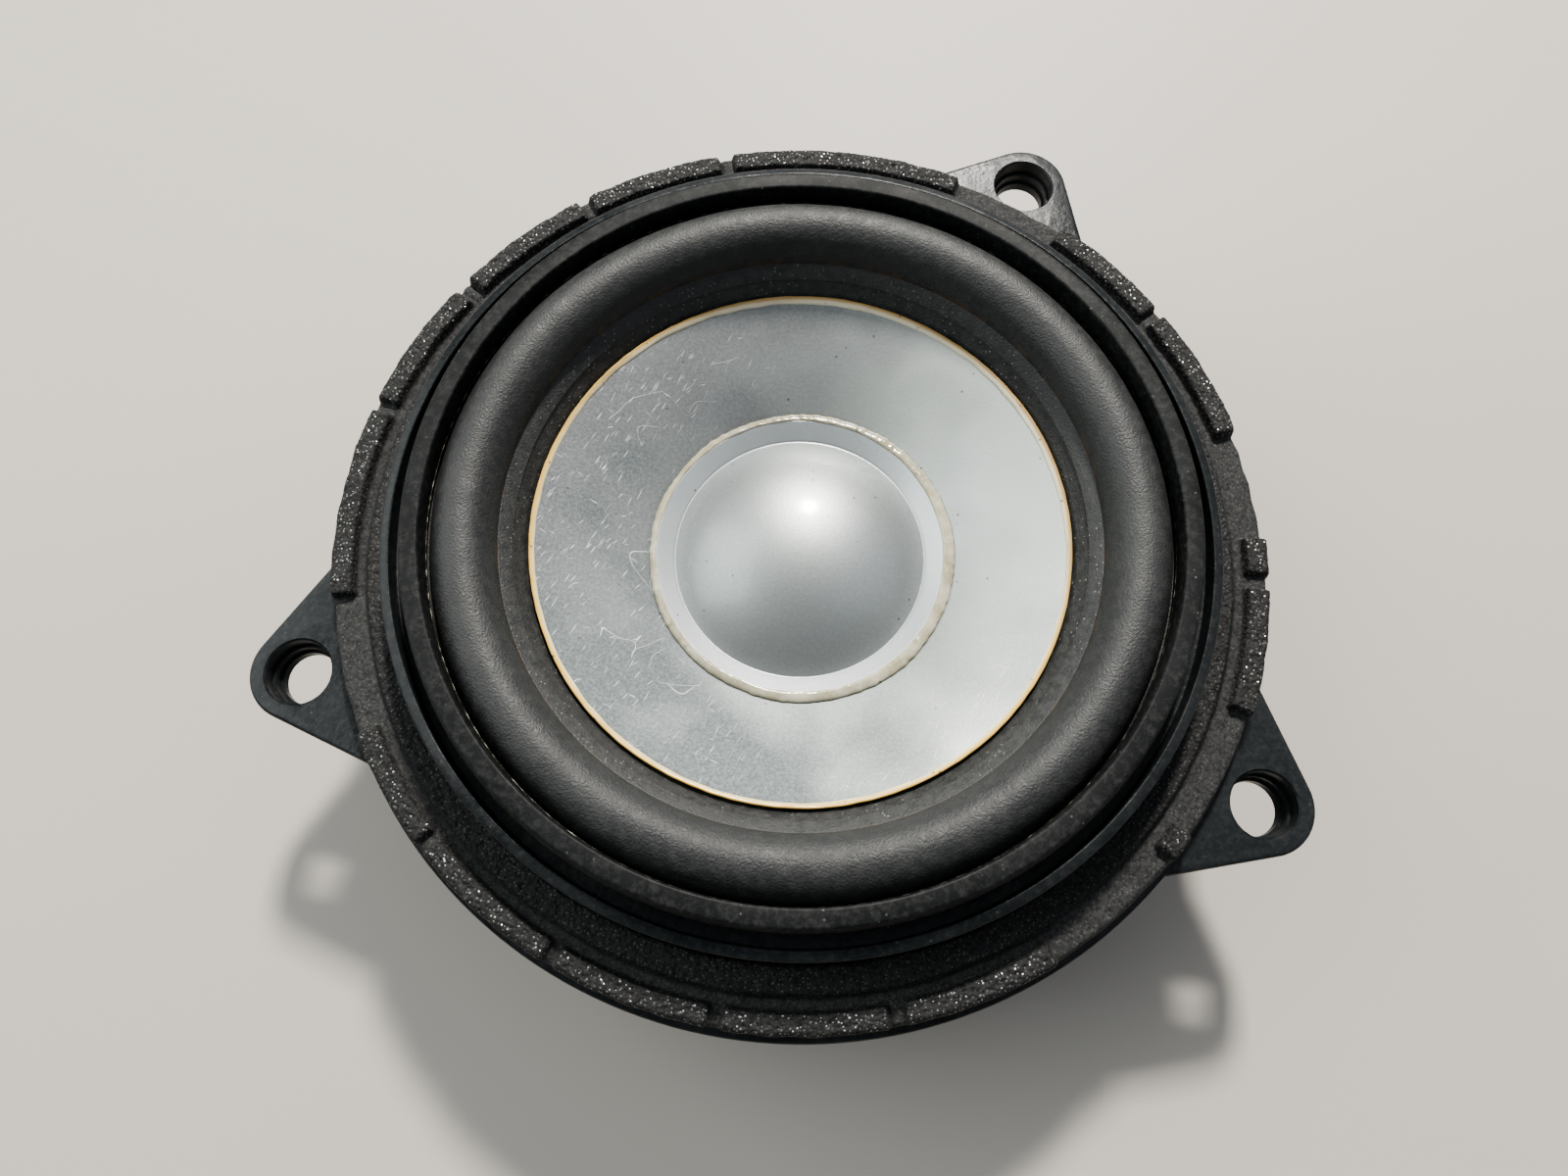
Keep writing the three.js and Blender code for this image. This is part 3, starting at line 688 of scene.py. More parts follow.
def window_outline():
    """A window between two spokes, with rounded corners and sides parallel to the spokes."""
    half = math.pi / SPOKE.count
    corners = []
    for radius, sign in ((WINDOW.outer, 1), (WINDOW.inner, -1)):
        edge = half - math.asin(SPOKE.width / 2 / radius)
        turns = np.linspace(-edge, edge, 13)[::sign]
        ends = [1.4] + [0.0] * 11 + [1.4]
        corners += [(radius * math.cos(t), radius * math.sin(t), r) for t, r in zip(turns, ends)]
    return rounded(corners)


def ear_hole():
    """The cutter of an ear's stepped hole, with a small chamfer at the front."""
    top = EAR.top + 0.5
    outline = [(0, EAR_HOLE[-1][1]), (EAR_HOLE[-1][0], EAR_HOLE[-1][1])]
    for (radius, bottom), (wider, _) in zip(EAR_HOLE[:0:-1], EAR_HOLE[-2::-1]):
        step = bottom if radius == EAR_HOLE[0][0] else EAR_HOLE[EAR_HOLE.index((radius, bottom)) - 1][1]
        outline += [(radius, step - 0.12), (radius + 0.1, step), (wider, step)]
    wide = EAR_HOLE[0][0]
    outline += [(wide, EAR.top - 0.2), (wide + 0.2, EAR.top), (wide + 0.7, top), (0, top)]
    return lathe("ear_hole", outline, on_axis=True, steps=64)


def rib():
    """A stiffening rib in the plane of azimuth 0, built flat and stood up."""
    under = FLANGE.top - FLANGE.plate
    outline = rounded([
        (26.4, MOTOR_SEAT.bottom + 0.6, 0),
        (26.4, MOTOR_SEAT.bottom - 0.9, 0.5),
        (29.4, MOTOR_SEAT.bottom - 0.9, 3.0),
        (50.6, under - SPOKE.rib_depth + 0.6, 3.0),
        (53.6, under - 0.6, 0.5),
        (53.6, under + 0.6, 0),
        (45.0, under + 0.6, 0),
    ])
    plate = prism("rib", outline, -SPOKE.rib / 2, SPOKE.rib / 2, 0.3)
    return turned(plate, 0, tilt=Matrix.Rotation(math.pi / 2, 4, "X"))


def at_screw(piece, i):
    """A piece made on the axis, moved to the place of a motor screw."""
    return turned(piece, SCREW.first + i * 360 / SCREW.count, (SCREW.circle, 0, 0))


def screw_holes(bottom, top, steps):
    """The cutters of the motor's screw holes."""
    outline = [(0, bottom), (SCREW.hole, bottom), (SCREW.hole, top), (0, top)]
    return [at_screw(lathe("hole", outline, True, steps), i) for i in range(SCREW.count)]


def make_basket():
    flange_under = FLANGE.top - FLANGE.plate
    skirt_bottom = FLANGE.top - FLANGE.depth
    shelf_under = SHELF.top - SHELF.thickness
    outline = rounded([
        (SHELF.inner, shelf_under, 0.2),
        (SHELF.inner, SHELF.top, 0.2),
        (COLLAR.ledge, SHELF.top, 0.2),
        (COLLAR.ledge, COLLAR.ledge_top, 0.18),
        (COLLAR.outer, COLLAR.rim_top, 0.3),
        (COLLAR.outer, FLANGE.top, 0.3),
        (FLANGE.radius, FLANGE.top, 0.45),
        (FLANGE.radius, skirt_bottom, 0.35),
        (FLANGE.radius - FLANGE.skirt, skirt_bottom, 0.35),
        (FLANGE.radius - FLANGE.skirt, flange_under, 0.6),
        (COLLAR.outer, flange_under, 1.0),
        (WINDOW.inner, 15.6, 2.0),
        (26.0, MOTOR_SEAT.bottom, 1.0),
        (MOTOR_SEAT.inner, MOTOR_SEAT.bottom, 0.2),
        (MOTOR_SEAT.inner, MOTOR_SEAT.top, 0.3),
        (SPIDER_SEAT.inner, MOTOR_SEAT.top, 0.3),
        (SPIDER_SEAT.inner, SPIDER_SEAT.height, 0.3),
        (SPIDER_SEAT.outer, SPIDER_SEAT.height, 0.2),
        (SPIDER_SEAT.outer, SPIDER_SEAT.wall_top, 0.2),
        (SPIDER_SEAT.wall, SPIDER_SEAT.wall_top, 0.6),
        (COLLAR.inner, 25.6, 1.0),
        (COLLAR.inner, shelf_under, 0.3),
    ])
    body = lathe("basket_moulding", outline, steps=192)
    spacing = 360 / SPOKE.count
    windows = [
        turned(prism("window", window_outline(), 9, WINDOW.top), (i + 0.5) * spacing)
        for i in range(SPOKE.count)
    ]
    combine(body, windows, "DIFFERENCE")
    additions = [turned(rib(), i * spacing) for i in range(SPOKE.count)]
    for azimuth in EAR.azimuths:
        ear = prism("ear", ear_outline(), skirt_bottom, EAR.top, 0.4)
        additions.append(turned(ear, azimuth))
    combine(body, additions, "UNION")
    cutters = [turned(ear_hole(), azimuth, (EAR.circle, 0, 0)) for azimuth in EAR.azimuths]
    cutters += screw_holes(MOTOR_SEAT.bottom - 1, MOTOR_SEAT.top + 1, 24)
    half = SOCKET.half_width + 0.3
    back, front = -WINDOW.outer + 1, -SOCKET.front - 0.3
    notch = [(-half, front), (half, front), (half, back), (-half, back)]
    cutters.append(prism("notch", notch, SOCKET.bottom, flange_under))
    combine(body, cutters, "DIFFERENCE")
    fit(body, FRAME_BODY, "basket_plastic", "basket")


make_basket()


# ---------------- foam gasket
def make_foam():
    steps = 1800
    azimuth = around(steps)
    degrees = np.degrees(azimuth)
    beyond = []
    for start, end in FOAM_PADS:
        middle, half = (start + end) / 2, (end - start) / 2
        beyond.append(np.abs((degrees - middle + 180) % 360 - 180) - half)
    beyond = np.sort(np.array(beyond) + wave(azimuth, 2, 40, 120, 0.05), axis=0)
    slot = smoothstep(1.9, 1.2, beyond[1])
    proud = np.maximum(smoothstep(0.2, -0.4, beyond[0]), 0.22 * slot)
    radii = np.arange(FOAM_OUTER, FOAM.inner - 0.01, -0.15)[:, None]
    band = smoothstep(FOAM.band + 0.5, FOAM.band - 0.4, radii + wave(azimuth, 3, 3, 40, 0.03))
    pad = smoothstep(FOAM.pad_inner - 0.1, FOAM.pad_inner + 0.5, radii + wave(azimuth, 4, 3, 60, 0.03))
    shoulder = np.sqrt(np.clip(1 - ((radii - FOAM_OUTER + 0.7) / 0.7).clip(0) ** 2, 0, 1))
    raised = np.maximum(band, pad * proud)
    rise = FOAM_TOP - FOAM.pressed
    top = FOAM.pressed + raised * rise - (1 - shoulder) * 0.7
    top -= smoothstep(FOAM.inner + 0.35, FOAM.inner, radii) * 0.3
    top += (0.010 + 0.035 * raised) * grain(top.shape, 11, 1) + 0.03 * grain(top.shape, 12, 12)
    outward = wave(azimuth, 5, 8, 90, 0.03) + 0.10 * proud - 0.12
    outward -= 0.35 * smoothstep(0.25, 0.8, -np.sin(azimuth))
    radius = np.repeat(radii, steps, axis=1) + outward * smoothstep(51.5, 54.0, radii)
    side = np.linspace(FOAM_BOTTOM, FOAM.pressed - 0.8, 5)[:, None]
    side_radius = FOAM_OUTER - 0.05 + outward + 0.03 * grain((5, steps), 13, 1)
    side_height = np.repeat(side, steps, axis=1)
    inner_radius = np.full((1, steps), FOAM.inner)
    radius = np.concatenate([inner_radius, side_radius, radius])
    height = np.concatenate([np.full((1, steps), FOAM_BOTTOM), side_height, top])
    height = np.clip(height, FOAM_BOTTOM, FOAM_TOP + 0.15)
    foam = revolve("foam_seal", radius, height, sharp=75)
    fit(foam, FRAME_BODY, "gasket_foam", "foam_gasket")


make_foam()


# ---------------- trim ring
def make_trim():
    inner = 41.45
    outline = rounded([
        (inner, TRIM_BOTTOM, 0.1),
        (inner, TRIM_TOP, 0.3),
        (TRIM_OUTER - 0.35, TRIM_TOP - 0.05, 0.45),
        (TRIM_OUTER - 0.1, TRIM_TOP - 1.1, 0.2),
        (TRIM_OUTER, TRIM_TOP - 1.3, 0.1),
        (TRIM_OUTER, TRIM_BOTTOM, 0.1),
    ])
    azimuth = around(AROUND * 4)
    radius, height = swept(outline, AROUND * 4)
    top = smoothstep(TRIM_TOP - 0.6, TRIM_TOP - 0.3, height)
    height = height + top * (wave(azimuth, 61, 2, 12, 0.015) - 0.02)
    ring = revolve("clamp_ring", radius, height)
    fit(ring, FRAME_BODY, "trim_plastic", "trim_ring")


def make_painted_highlight_thread():
    """A thin thread round the foot of the trim ring's bore, taken for moulding flash; its pale colour is a
    painted highlight for the bright line that edge catches.
    """
    azimuth = around(1440)
    # Painted highlight: the pale thread is thicker on the left, where the bright line shows most.
    painted_highlight_weight = 0.3 + 0.7 * smoothstep(0.2, -0.6, np.cos(azimuth))
    size = np.clip(0.008 + wave(azimuth, 62, 30, 220, 0.022), 0.006, 0.05) * painted_highlight_weight
    turns = around(6)[:, None]
    radius = 41.4 + size * np.cos(turns)
    height = TRIM_BOTTOM + 0.75 + wave(azimuth, 63, 2, 20, 0.03) + size * np.sin(turns)
    thread = revolve("ring_flash_painted_highlight", radius, height, sharp=80)
    fit(thread, FRAME_BODY, "cream_glue")


make_painted_highlight_thread()
make_trim()


# ---------------- surround
def make_surround():
    share = np.linspace(0, 1, 25)
    angle = np.pi * (1 - share)

    def roll(inset):
        return np.column_stack([
            ROLL.centre + (ROLL.half_width - inset) * np.cos(angle),
            ROLL.foot + (ROLL_TOP - ROLL.foot - inset) * np.sin(angle),
        ])

    rim_top = TRIM_BOTTOM - 0.3
    rim_bottom = SHELF.top + 0.3
    outer_foot = ROLL.centre + ROLL.half_width
    front = rounded([(28.6, 29.2, 0), (31.3, 30.5, 0.4), (31.75, 31.3, 1.0), (33.7, 33.75, 0.5)])[:-1]
    lip = [(33.85, 34.05), (34.0, 34.12)]
    back = rounded([(34.5, 33.6, 0.3), (32.1, 30.7, 0.5), (31.7, 29.9, 0.5), (28.6, 28.5, 0)])
    outline = np.concatenate([
        front,
        lip,
        roll(0)[1:-2],
        [(outer_foot - 0.03, rim_top + 0.35), (outer_foot, rim_top)],
        [(RIM_OUTER, rim_top), (RIM_OUTER, rim_bottom)],
        [(outer_foot - ROLL.thickness, rim_bottom)],
        roll(ROLL.thickness)[::-1][2:-2],
        back,
    ])
    azimuth = around(AROUND * 2)
    radius, height = swept(outline, AROUND * 2)
    on_roll = smoothstep(34.2, 36.0, radius) * smoothstep(41.2, 40.0, radius)
    height = height + on_roll * (wave(azimuth, 21, 2, 9, 0.05) + wave(azimuth, 22, 20, 70, 0.012))
    height = np.minimum(height, ROLL_TOP + 0.1)
    skin = revolve("roll_surround", radius, height, sharp=50)
    flex(skin, "surround_rubber", "surround", 41.2, 31.6, out_from_axis)


make_surround()


# ---------------- cone, dust cap and glue
CONE_LINE = ((18.6, 25.0), (17.4, 24.3), (15.1, 22.75))  # points down the cone towards its neck


def make_cone():
    thickness = 0.45
    neck = 13.0
    front = [(neck, NECK_BOTTOM, 0), (neck, 21.5, 0.8)]
    front += [(r, z, 1.5) for r, z in CONE_LINE[::-1]] + [(CONE_EDGE, CONE_TOP, 0.1)]
    back = [(CONE_EDGE, CONE_TOP - thickness, 0.1)]
    back += [(r, z - thickness, 1.5) for r, z in CONE_LINE[:2]]
    back += [(neck + thickness, 21.2, 0.8), (neck + thickness, NECK_BOTTOM, 0)]
    outline = rounded(front + back, 5)
    cone = lathe("cone_skin", outline, steps=384)
    fit(cone, CONE_BODY, "cone_aluminium", "cone")


def dome_arc(sphere, centre, spread, count):
    turns = np.linspace(0, spread, count)
    return np.column_stack([sphere * np.sin(turns), centre + sphere * np.cos(turns)])


def make_dome():
    thickness = 0.3
    rise = DOME_TOP - CREASE.top
    sphere = (CREASE.radius ** 2 + rise**2) / (2 * rise)
    spread = math.asin(CREASE.radius / sphere)
    centre = DOME_TOP - sphere
    front = dome_arc(sphere, centre, spread, 48)[:-1]
    groove = [(*front[-1], 0), (CREASE.radius, CREASE.top, 0.25), (DOME_RIM, DOME_TOP - 3.2, 0)]
    groove = rounded(groove, 6)[1:-1]
    rim = rounded([(15.6, 23.87, 0), (DOME_RIM, 25.3, 0.12), (DOME_RIM, 24.95, 0.12), (15.6, 23.55, 0)])[1:-1]
    back = dome_arc(sphere - thickness, centre, spread * 0.99, 24)[::-1]
    back_crease = [(CREASE.radius, CREASE.top - thickness)]
    outline = np.concatenate([front, groove, rim, back_crease, back])
    radius, height = swept(outline, AROUND)
    uneven = smoothstep(2, 10, radius) * smoothstep(15, 12, radius)
    height = height + 0.03 * np.cos(around(AROUND) - 0.6) * uneven
    dome = revolve("dust_dome", radius, height, on_axis=True, sharp=60)
    fit(dome, CONE_BODY, "dome_aluminium", "dust_cap")


def cone_height(radius):
    """Height of the cone's front face."""
    slope = (CONE_TOP - CONE_LINE[0][1]) / (CONE_EDGE - CONE_LINE[0][0])
    outer = CONE_LINE[0][1] + (radius - CONE_LINE[0][0]) * slope
    inner = np.interp(radius, *np.transpose(CONE_LINE[::-1]))
    return np.where(radius > CONE_LINE[0][0], outer, inner)


def make_bead():
    """The hand-laid bead that fixes the dust cap: uneven in width, height and edge."""
    azimuth = around(720)
    inner = DOME_RIM - 0.06 + wave(azimuth, 31, 3, 24, 0.025)
    outer = 18.38 + 0.26 * np.cos(azimuth + 0.4) + wave(azimuth, 32, 3, 14, 0.035)
    outer += np.clip(wave(azimuth, 33, 20, 110, 0.025), -0.03, 0.08)
    crown = 0.30 + 0.05 * np.cos(azimuth + 0.7) + wave(azimuth, 34, 3, 40, 0.02)
    turns = np.linspace(0, np.pi, 11)[:, None]
    middle, half = (inner + outer) / 2, (outer - inner) / 2
    radius = middle - half * np.cos(turns)
    base_inner, base_outer = 25.2, cone_height(outer) + 0.06
    base = base_inner + (base_outer - base_inner) * (1 - np.cos(turns)) / 2
    height = base + crown * np.sin(turns) ** 0.8 + 0.012 * grain(radius.shape, 35, 2) * np.sin(turns)
    radius = np.concatenate([radius, [outer - 0.1, inner + 0.12]])
    under = [cone_height(outer - 0.1) + 0.02, cone_height(inner + 0.12) + 0.3]
    bead = revolve("dust_cap_bead", radius, np.concatenate([height, under]), sharp=70)
    fit(bead, CONE_BODY, "cream_glue", "dust_cap_glue")


def make_edge_glue():
    """The thin squeezed-out line of glue between the cone's edge and the rubber."""
    azimuth = around(720)
    far = smoothstep(0.0, 0.9, np.cos(azimuth - 1.2))
    inner = CONE_EDGE - 0.42 - 0.22 * far + wave(azimuth, 43, 4, 60, 0.025)
    outer = CONE_EDGE + 0.2 + wave(azimuth, 41, 2, 9, 0.03) + wave(azimuth, 42, 10, 90, 0.012)
    turns = np.linspace(0, np.pi, 7)[:, None]
    radius = (inner + outer) / 2 - (outer - inner) / 2 * np.cos(turns)
    height = cone_height(radius) + 0.03 + (0.2 + wave(azimuth, 44, 4, 60, 0.02)) * np.sin(turns)
    radius = np.concatenate([radius, [outer - 0.05, inner + 0.1]])
    under = [np.full_like(azimuth, CONE_TOP - 0.25), cone_height(inner + 0.1) - 0.05]
    line = revolve("cone_edge_bead", radius, np.concatenate([height, under]), sharp=70)
    fit(line, CONE_BODY, "amber_glue", "cone_edge_glue")


make_cone()
make_dome()
make_bead()
make_edge_glue()


# ---------------- coil, spider and motor
def make_coil():
    wall = 0.3
    inner = FORMER_OUTER - wall
    tube = [(inner, FORMER_BOTTOM), (FORMER_OUTER, FORMER_BOTTOM)]
    tube += [(FORMER_OUTER, FORMER_TOP), (inner, FORMER_TOP)]
    fit(lathe("coil_former", tube), CONE_BODY, "former_film", "voice_coil_former")
    wires = 24
    outer, bottom, top = span("voice_coil_winding")
    turns = np.linspace(0, 2 * np.pi * wires, wires * 6 + 1)
    face = np.column_stack([outer - 0.06 + 0.06 * np.cos(turns), bottom + (top - bottom) * turns / turns[-1]])
    outline = np.concatenate([face, [(FORMER_OUTER + 0.1, top), (FORMER_OUTER + 0.1, bottom)]])
    fit(lathe("coil_winding", outline, steps=96), CONE_BODY, "coil_copper", "voice_coil_winding")
    fillet = rounded([(12.82, 18.1, 0), (12.82, 19.3, 0.1), (13.1, 18.9, 0.5), (13.6, 18.2, 0.1)])
    fit(lathe("spider_fillet", fillet), CONE_BODY, "dark_glue", "spider_glue")


def make_spider():
    rolls, start, end, swing, thickness = 5, 14.2, 25.3, 0.7, 0.4
    middle = SPIDER_SEAT.height + 0.3 + thickness / 2
    radii = np.linspace(start, end, rolls * 12 + 1)
    heights = middle - swing * np.sin((radii - start) / (end - start) * rolls * 2 * np.pi)
    slope = np.gradient(heights, radii)
    normal = np.column_stack([-slope, np.ones_like(slope)])
    normal *= thickness / 2 / np.linalg.norm(normal, axis=1)[:, None]
    line = np.column_stack([radii, heights])
    front = np.concatenate([[(13.0, middle + 0.2)], line + normal, [(SPIDER_OUTER, middle + 0.2)]])
    back = np.concatenate([[(SPIDER_OUTER, middle - 0.2)], (line - normal)[::-1], [(13.0, middle - 0.2)]])
    cloth = lathe("centring_spider", np.concatenate([front, back]), steps=192, sharp=60)
    flex(cloth, "spider_cloth", "spider", 25.8, 13.6, out_from_axis)


def make_cup():
    bore, floor, wall = 13.6, 4.0, 14.4
    outline = rounded([
        (0, 0, 0),
        (CUP.radius, 0, 0.9),
        (CUP.radius, CUP.flange_bottom, 0.5),
        (CUP_FLANGE, CUP.flange_bottom, 0.25),
        (CUP_FLANGE, CUP_TOP, 0.25),
        (bore, CUP_TOP, 0.15),
        (bore, CUP_TOP - 3.5, 0),
        (wall, CUP_TOP - 4.0, 0),
        (wall, floor, 0.3),
        (0, floor, 0),
    ])
    cup = lathe("motor_cup", outline, on_axis=True, steps=192)
    combine(cup, screw_holes(CUP.flange_bottom - 1, CUP_TOP + 1, 32), "DIFFERENCE")
    fit(cup, FRAME_BODY, "motor_steel", "magnet_cup")


def make_screws():
    """Pan-head screws with a six-lobed recess."""
    head_top = CUP.flange_bottom - 0.3
    head_bottom = head_top - SCREW.head_height
    tip = MOTOR_SEAT.top - 0.3
    pitch, core, crest = 0.8, 0.95, 1.15
    threads = []
    height = head_top + 0.4
    while height + pitch < tip - 0.5:
        threads += [(core, height), (crest, height + pitch * 0.4), (core, height + pitch * 0.8)]
        height += pitch
    corners = [(0, head_bottom, 0), (1.6, head_bottom + 0.02, 0.8), (SCREW.head, head_bottom + 0.9, 0.5)]
    corners += [(SCREW.head, head_top, 0.15), (core, head_top, 0)]
    outline = np.concatenate([rounded(corners, 5), threads, [(core, tip - 0.4), (0.3, tip), (0, tip)]])
    turns = around(48)
    lobes = 1.05 + 0.2 * np.cos(6 * turns)
    star = np.column_stack([lobes * np.cos(turns), lobes * np.sin(turns)])
    for i in range(SCREW.count):
        screw = lathe(f"pan_screw_{i + 1}", outline, on_axis=True, steps=48)
        combine(screw, [prism("recess", star, head_bottom - 0.5, head_bottom + 1.0)], "DIFFERENCE")
        at_screw(screw, i)
        fit(screw, FRAME_BODY, "screw_steel", f"motor_screw_{i + 1}")


make_coil()
make_spider()
make_cup()
make_screws()

for node_name, slot_name in (("magnet", "magnet_nickel"), ("pole_plate", "motor_steel")):
    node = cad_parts[node_name]
    node.data.materials.clear()
    node.data.materials.append(LOOKS[slot_name])


# ---------------- connector and leads
def box_outline(left, right, front, back, radius):
    corners = ((left, front), (right, front), (right, back), (left, back))
    return rounded([(*corner, radius) for corner in corners])


def make_housing():
    half, wall = SOCKET.half_width, SOCKET.wall
    front, back = -SOCKET.front, -SOCKET.back
    outside = box_outline(-half, half, front, back, 0.8)
    shell = prism("connector_shell", outside, SOCKET.bottom, SOCKET.top, 0.25)
    additions = []
    for x in (-5.4, 0.0, 5.4):
        ridge = box_outline(x - 0.45, x + 0.45, front - 0.28, front + 0.4, 0.2)
        additions.append(prism("ridge", ridge, SOCKET.bottom + 1.4, SOCKET.top - 2.6, 0.1))
    combine(shell, additions, "UNION")
    inside = box_outline(-half + wall, half - wall, front + wall, back - wall, 0.5)
    cutters = [prism("socket", inside, SOCKET.bottom - 1, SOCKET_FLOOR)]
    key = box_outline(-1.2, 1.2, back - wall - 0.2, back - wall + 0.55, 0.1)
    cutters.append(prism("keyway", key, SOCKET.bottom - 1, SOCKET_FLOOR - 2))
    reach = BLADE.radius + BLADE.thickness / 2 + 0.3
    for side in SIDES.values():
        middle, gap = side * BLADE.offset, BLADE.width / 2 + 0.2
        left, right = middle - gap, middle + gap
        throat = box_outline(left, right, -reach, -reach + BLADE.thickness + 0.6, 0)
        cutters.append(prism("throat", throat, SOCKET_FLOOR - 1, TAB.top + 0.3))
        slit = box_outline(left, right, -reach, back + 1, 0)
        cutters.append(prism("slit", slit, TAB.top - BLADE.thickness - 0.3, TAB.top + 0.3))
    combine(shell, cutters, "DIFFERENCE")
    fit(shell, FRAME_BODY, "connector_plastic", "connector_housing")


def make_terminal(name, side):
    """One bent strip with a chamfered blade tip, a rounded bend and a solder pad."""
    outer, thick = BLADE.radius + BLADE.thickness / 2, BLADE.thickness
    outline = rounded([
        (outer - 0.25, BLADE.tip, 0.1),
        (outer, BLADE.tip + 1.0, 0.3),
        (outer, TAB.top, 0.8),
        (TAB.end, TAB.top, 0.15),
        (TAB.end, TAB.top - thick, 0.15),
        (outer - thick, TAB.top - thick, 0.2),
        (outer - thick, BLADE.tip + 1.0, 0.3),
        (outer - thick + 0.25, BLADE.tip, 0.1),
    ])
    strip = prism(f"blade_{name}", outline, -BLADE.width / 2, BLADE.width / 2, 0.12)
    stand = Matrix.Rotation(math.pi / 2, 4, "X")
    aside = Matrix.Translation(Vector((side * BLADE.offset, 0, 0)) * MM)
    strip.data.transform(aside @ Matrix.Rotation(-math.pi / 2, 4, "Z") @ stand)
    fit(strip, FRAME_BODY, "terminal_tin", f"terminal_{name}")


def lead_path(side, count):
    """Points along a lead, smooth through the route's own points."""
    start, end = LEAD_JOINT.sideways, BLADE.offset
    knots = [(side * (start + (end - start) * share), -out, z) for out, z, share in LEAD_ROUTE]
    knots = np.array(knots)
    padded = np.concatenate([[2 * knots[0] - knots[1]], knots, [2 * knots[-1] - knots[-2]]])
    points = []
    for t in np.linspace(0, len(knots) - 1 - 1e-9, count):
        i, u = int(t), t - int(t)
        a, b, c, d = padded[i : i + 4]
        square, cube = 2 * a - 5 * b + 4 * c - d, 3 * b - a - 3 * c + d
        points.append(0.5 * (2 * b + (c - a) * u + square * u**2 + cube * u**3))
    return np.array(points)


def make_lead(name, side):
    """Three twisted strands of tinsel."""
    count, sides, strands, twist = 90, 8, 3, 9.0
    path = lead_path(side, count)
    tangent = np.gradient(path, axis=0)
    tangent /= np.linalg.norm(tangent, axis=1)[:, None]
    across = np.cross(tangent, (1.0, 0, 0))
    across /= np.linalg.norm(across, axis=1)[:, None]
    up = np.cross(across, tangent)
    vertices, faces = [], []
    for k in range(strands):
        turn = 2 * np.pi * (k / strands + twist * np.linspace(0, 1, count))
        centre = path + 0.27 * (across * np.cos(turn)[:, None] + up * np.sin(turn)[:, None])
        faces += ring_faces(count, sides, len(vertices)) + end_faces(count, sides, len(vertices))
        for i in range(count):
            for angle in around(sides):
                spoke = across[i] * math.cos(angle) + up[i] * math.sin(angle)
                vertices.append(centre[i] + 0.3 * spoke)
    lead = new_object(f"lead_{name}", vertices, faces, 60)
    flex(lead, "lead_braid", f"tinsel_lead_{name}", 39.6, 19.0, lambda p: -p[:, 1])


def blob(name, centre, radii, seed, tilt=0.0):
    """A small uneven drop of glue or solder, flat underneath."""
    azimuth = around(32)
    turns = np.linspace(np.pi * 0.62, 0, 10)[:, None]
    radius = np.sin(turns) * (1 + wave(azimuth, seed, 1, 4, 0.07))
    height = np.cos(turns) + 0 * azimuth
    radius = np.concatenate([0 * height[:1], radius])
    height = np.concatenate([height[:1], height])
    radius[-1] = 0
    drop = revolve(name, radius, height, on_axis=True, sharp=80)
    size = Matrix.Diagonal((*radii, 1.0))
    drop.data.transform(Matrix.Translation(Vector(centre) * MM) @ Matrix.Rotation(tilt, 4, "X") @ size)
    return drop


make_housing()
for lead_name, lead_side in SIDES.items():
    make_terminal(lead_name, lead_side)
    make_lead(lead_name, lead_side)
    place = (lead_side * LEAD_JOINT.sideways, -LEAD_JOINT.radius - 0.1, 23.72)
    dab = blob(f"lead_dab_{lead_name}", place, (1.45, 1.6, -0.75), 50 + lead_side, -0.46)
    fit(dab, CONE_BODY, "dark_glue", f"lead_joint_{lead_name}")
    place = (lead_side * BLADE.offset, -40.9, TAB.top + 0.12)
    solder = blob(f"solder_{lead_name}", place, (0.8, 0.9, 0.5), 60 + lead_side)
    fit(solder, FRAME_BODY, "terminal_tin")


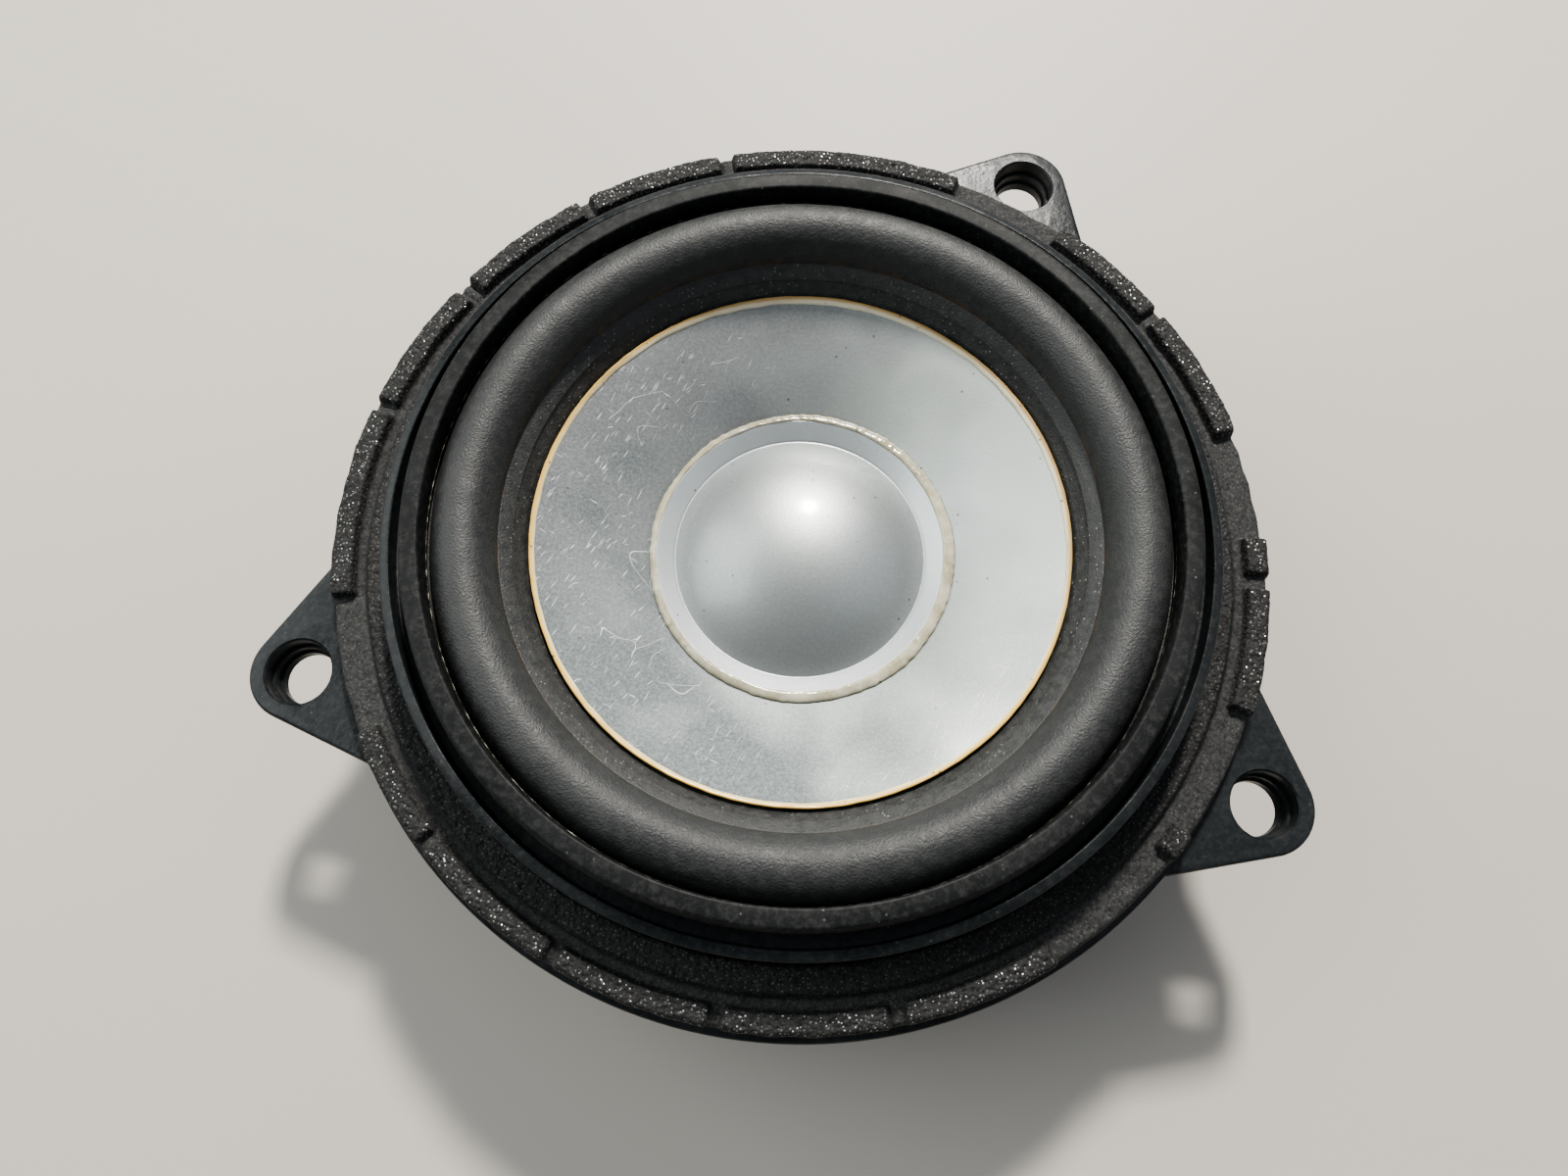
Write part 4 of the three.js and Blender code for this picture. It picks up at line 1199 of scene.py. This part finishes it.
# ---------------- floor and light
def make_floor():
    outline = [(-4, -4, 0), (4, -4, 0), (4, 4, 0), (-4, 4, 0)]
    mesh = bpy.data.meshes.new("floor")
    mesh.from_pydata(outline, [], [(0, 1, 2, 3)])
    floor = bpy.data.objects.new("floor", mesh)
    bpy.context.scene.collection.objects.link(floor)
    look = Look("floor", roughness=0.6)
    tone = look.noise(9, 3)
    look.set(base_color=look.mix(tone, (0.42, 0.39, 0.35), (0.47, 0.44, 0.40)))
    floor.data.materials.append(look.material)


def make_light(name, towards, distance, size, power, color):
    """A square softbox that shines on the speaker from a direction."""
    data = bpy.data.lights.new(name, "AREA")
    data.shape = "SQUARE"
    data.size = size
    data.energy = power
    data.color = color
    light = bpy.data.objects.new(name, data)
    bpy.context.scene.collection.objects.link(light)
    way = Vector(towards).normalized()
    light.location = way * distance + Vector((0, 0, 0.03))
    light.rotation_mode = "QUATERNION"
    light.rotation_quaternion = way.to_track_quat("Z", "Y")


def make_world():
    """A dim surround, brighter on the far side, where the daylight comes from, than overhead."""
    world = bpy.data.worlds.new("world")
    world.use_nodes = True
    tree = world.node_tree
    place = tree.nodes.new("ShaderNodeTexCoord")
    parts = tree.nodes.new("ShaderNodeSeparateXYZ")
    tree.links.new(place.outputs["Generated"], parts.inputs[0])
    shade = tree.nodes.new("ShaderNodeMapRange")
    tree.links.new(parts.outputs["Y"], shade.inputs["Value"])
    shade.inputs["From Min"].default_value = -0.2
    shade.inputs["From Max"].default_value = 1.0
    shade.inputs["To Min"].default_value = 0.25
    shade.inputs["To Max"].default_value = 0.30
    background = tree.nodes["Background"]
    background.inputs["Color"].default_value = (0.84, 0.89, 0.96, 1.0)
    tree.links.new(shade.outputs["Result"], background.inputs["Strength"])
    bpy.context.scene.world = world


make_floor()
make_world()
make_light("key", (0.06, 0.68, 0.73), 1.0, 0.11, 19.5, (1.0, 0.96, 0.90))
make_light("window", (0.0, 0.95, 0.33), 1.2, 1.0, 1.0, (0.84, 0.92, 1.0))
make_light("left", (-0.75, 0.15, 0.65), 1.0, 0.8, 7.0, (0.95, 1.0, 0.98))
make_light("right", (0.6, 0.1, 0.75), 1.0, 0.8, 1.3, (0.88, 0.93, 1.0))
bpy.context.scene.view_settings.look = "AgX - Medium High Contrast"
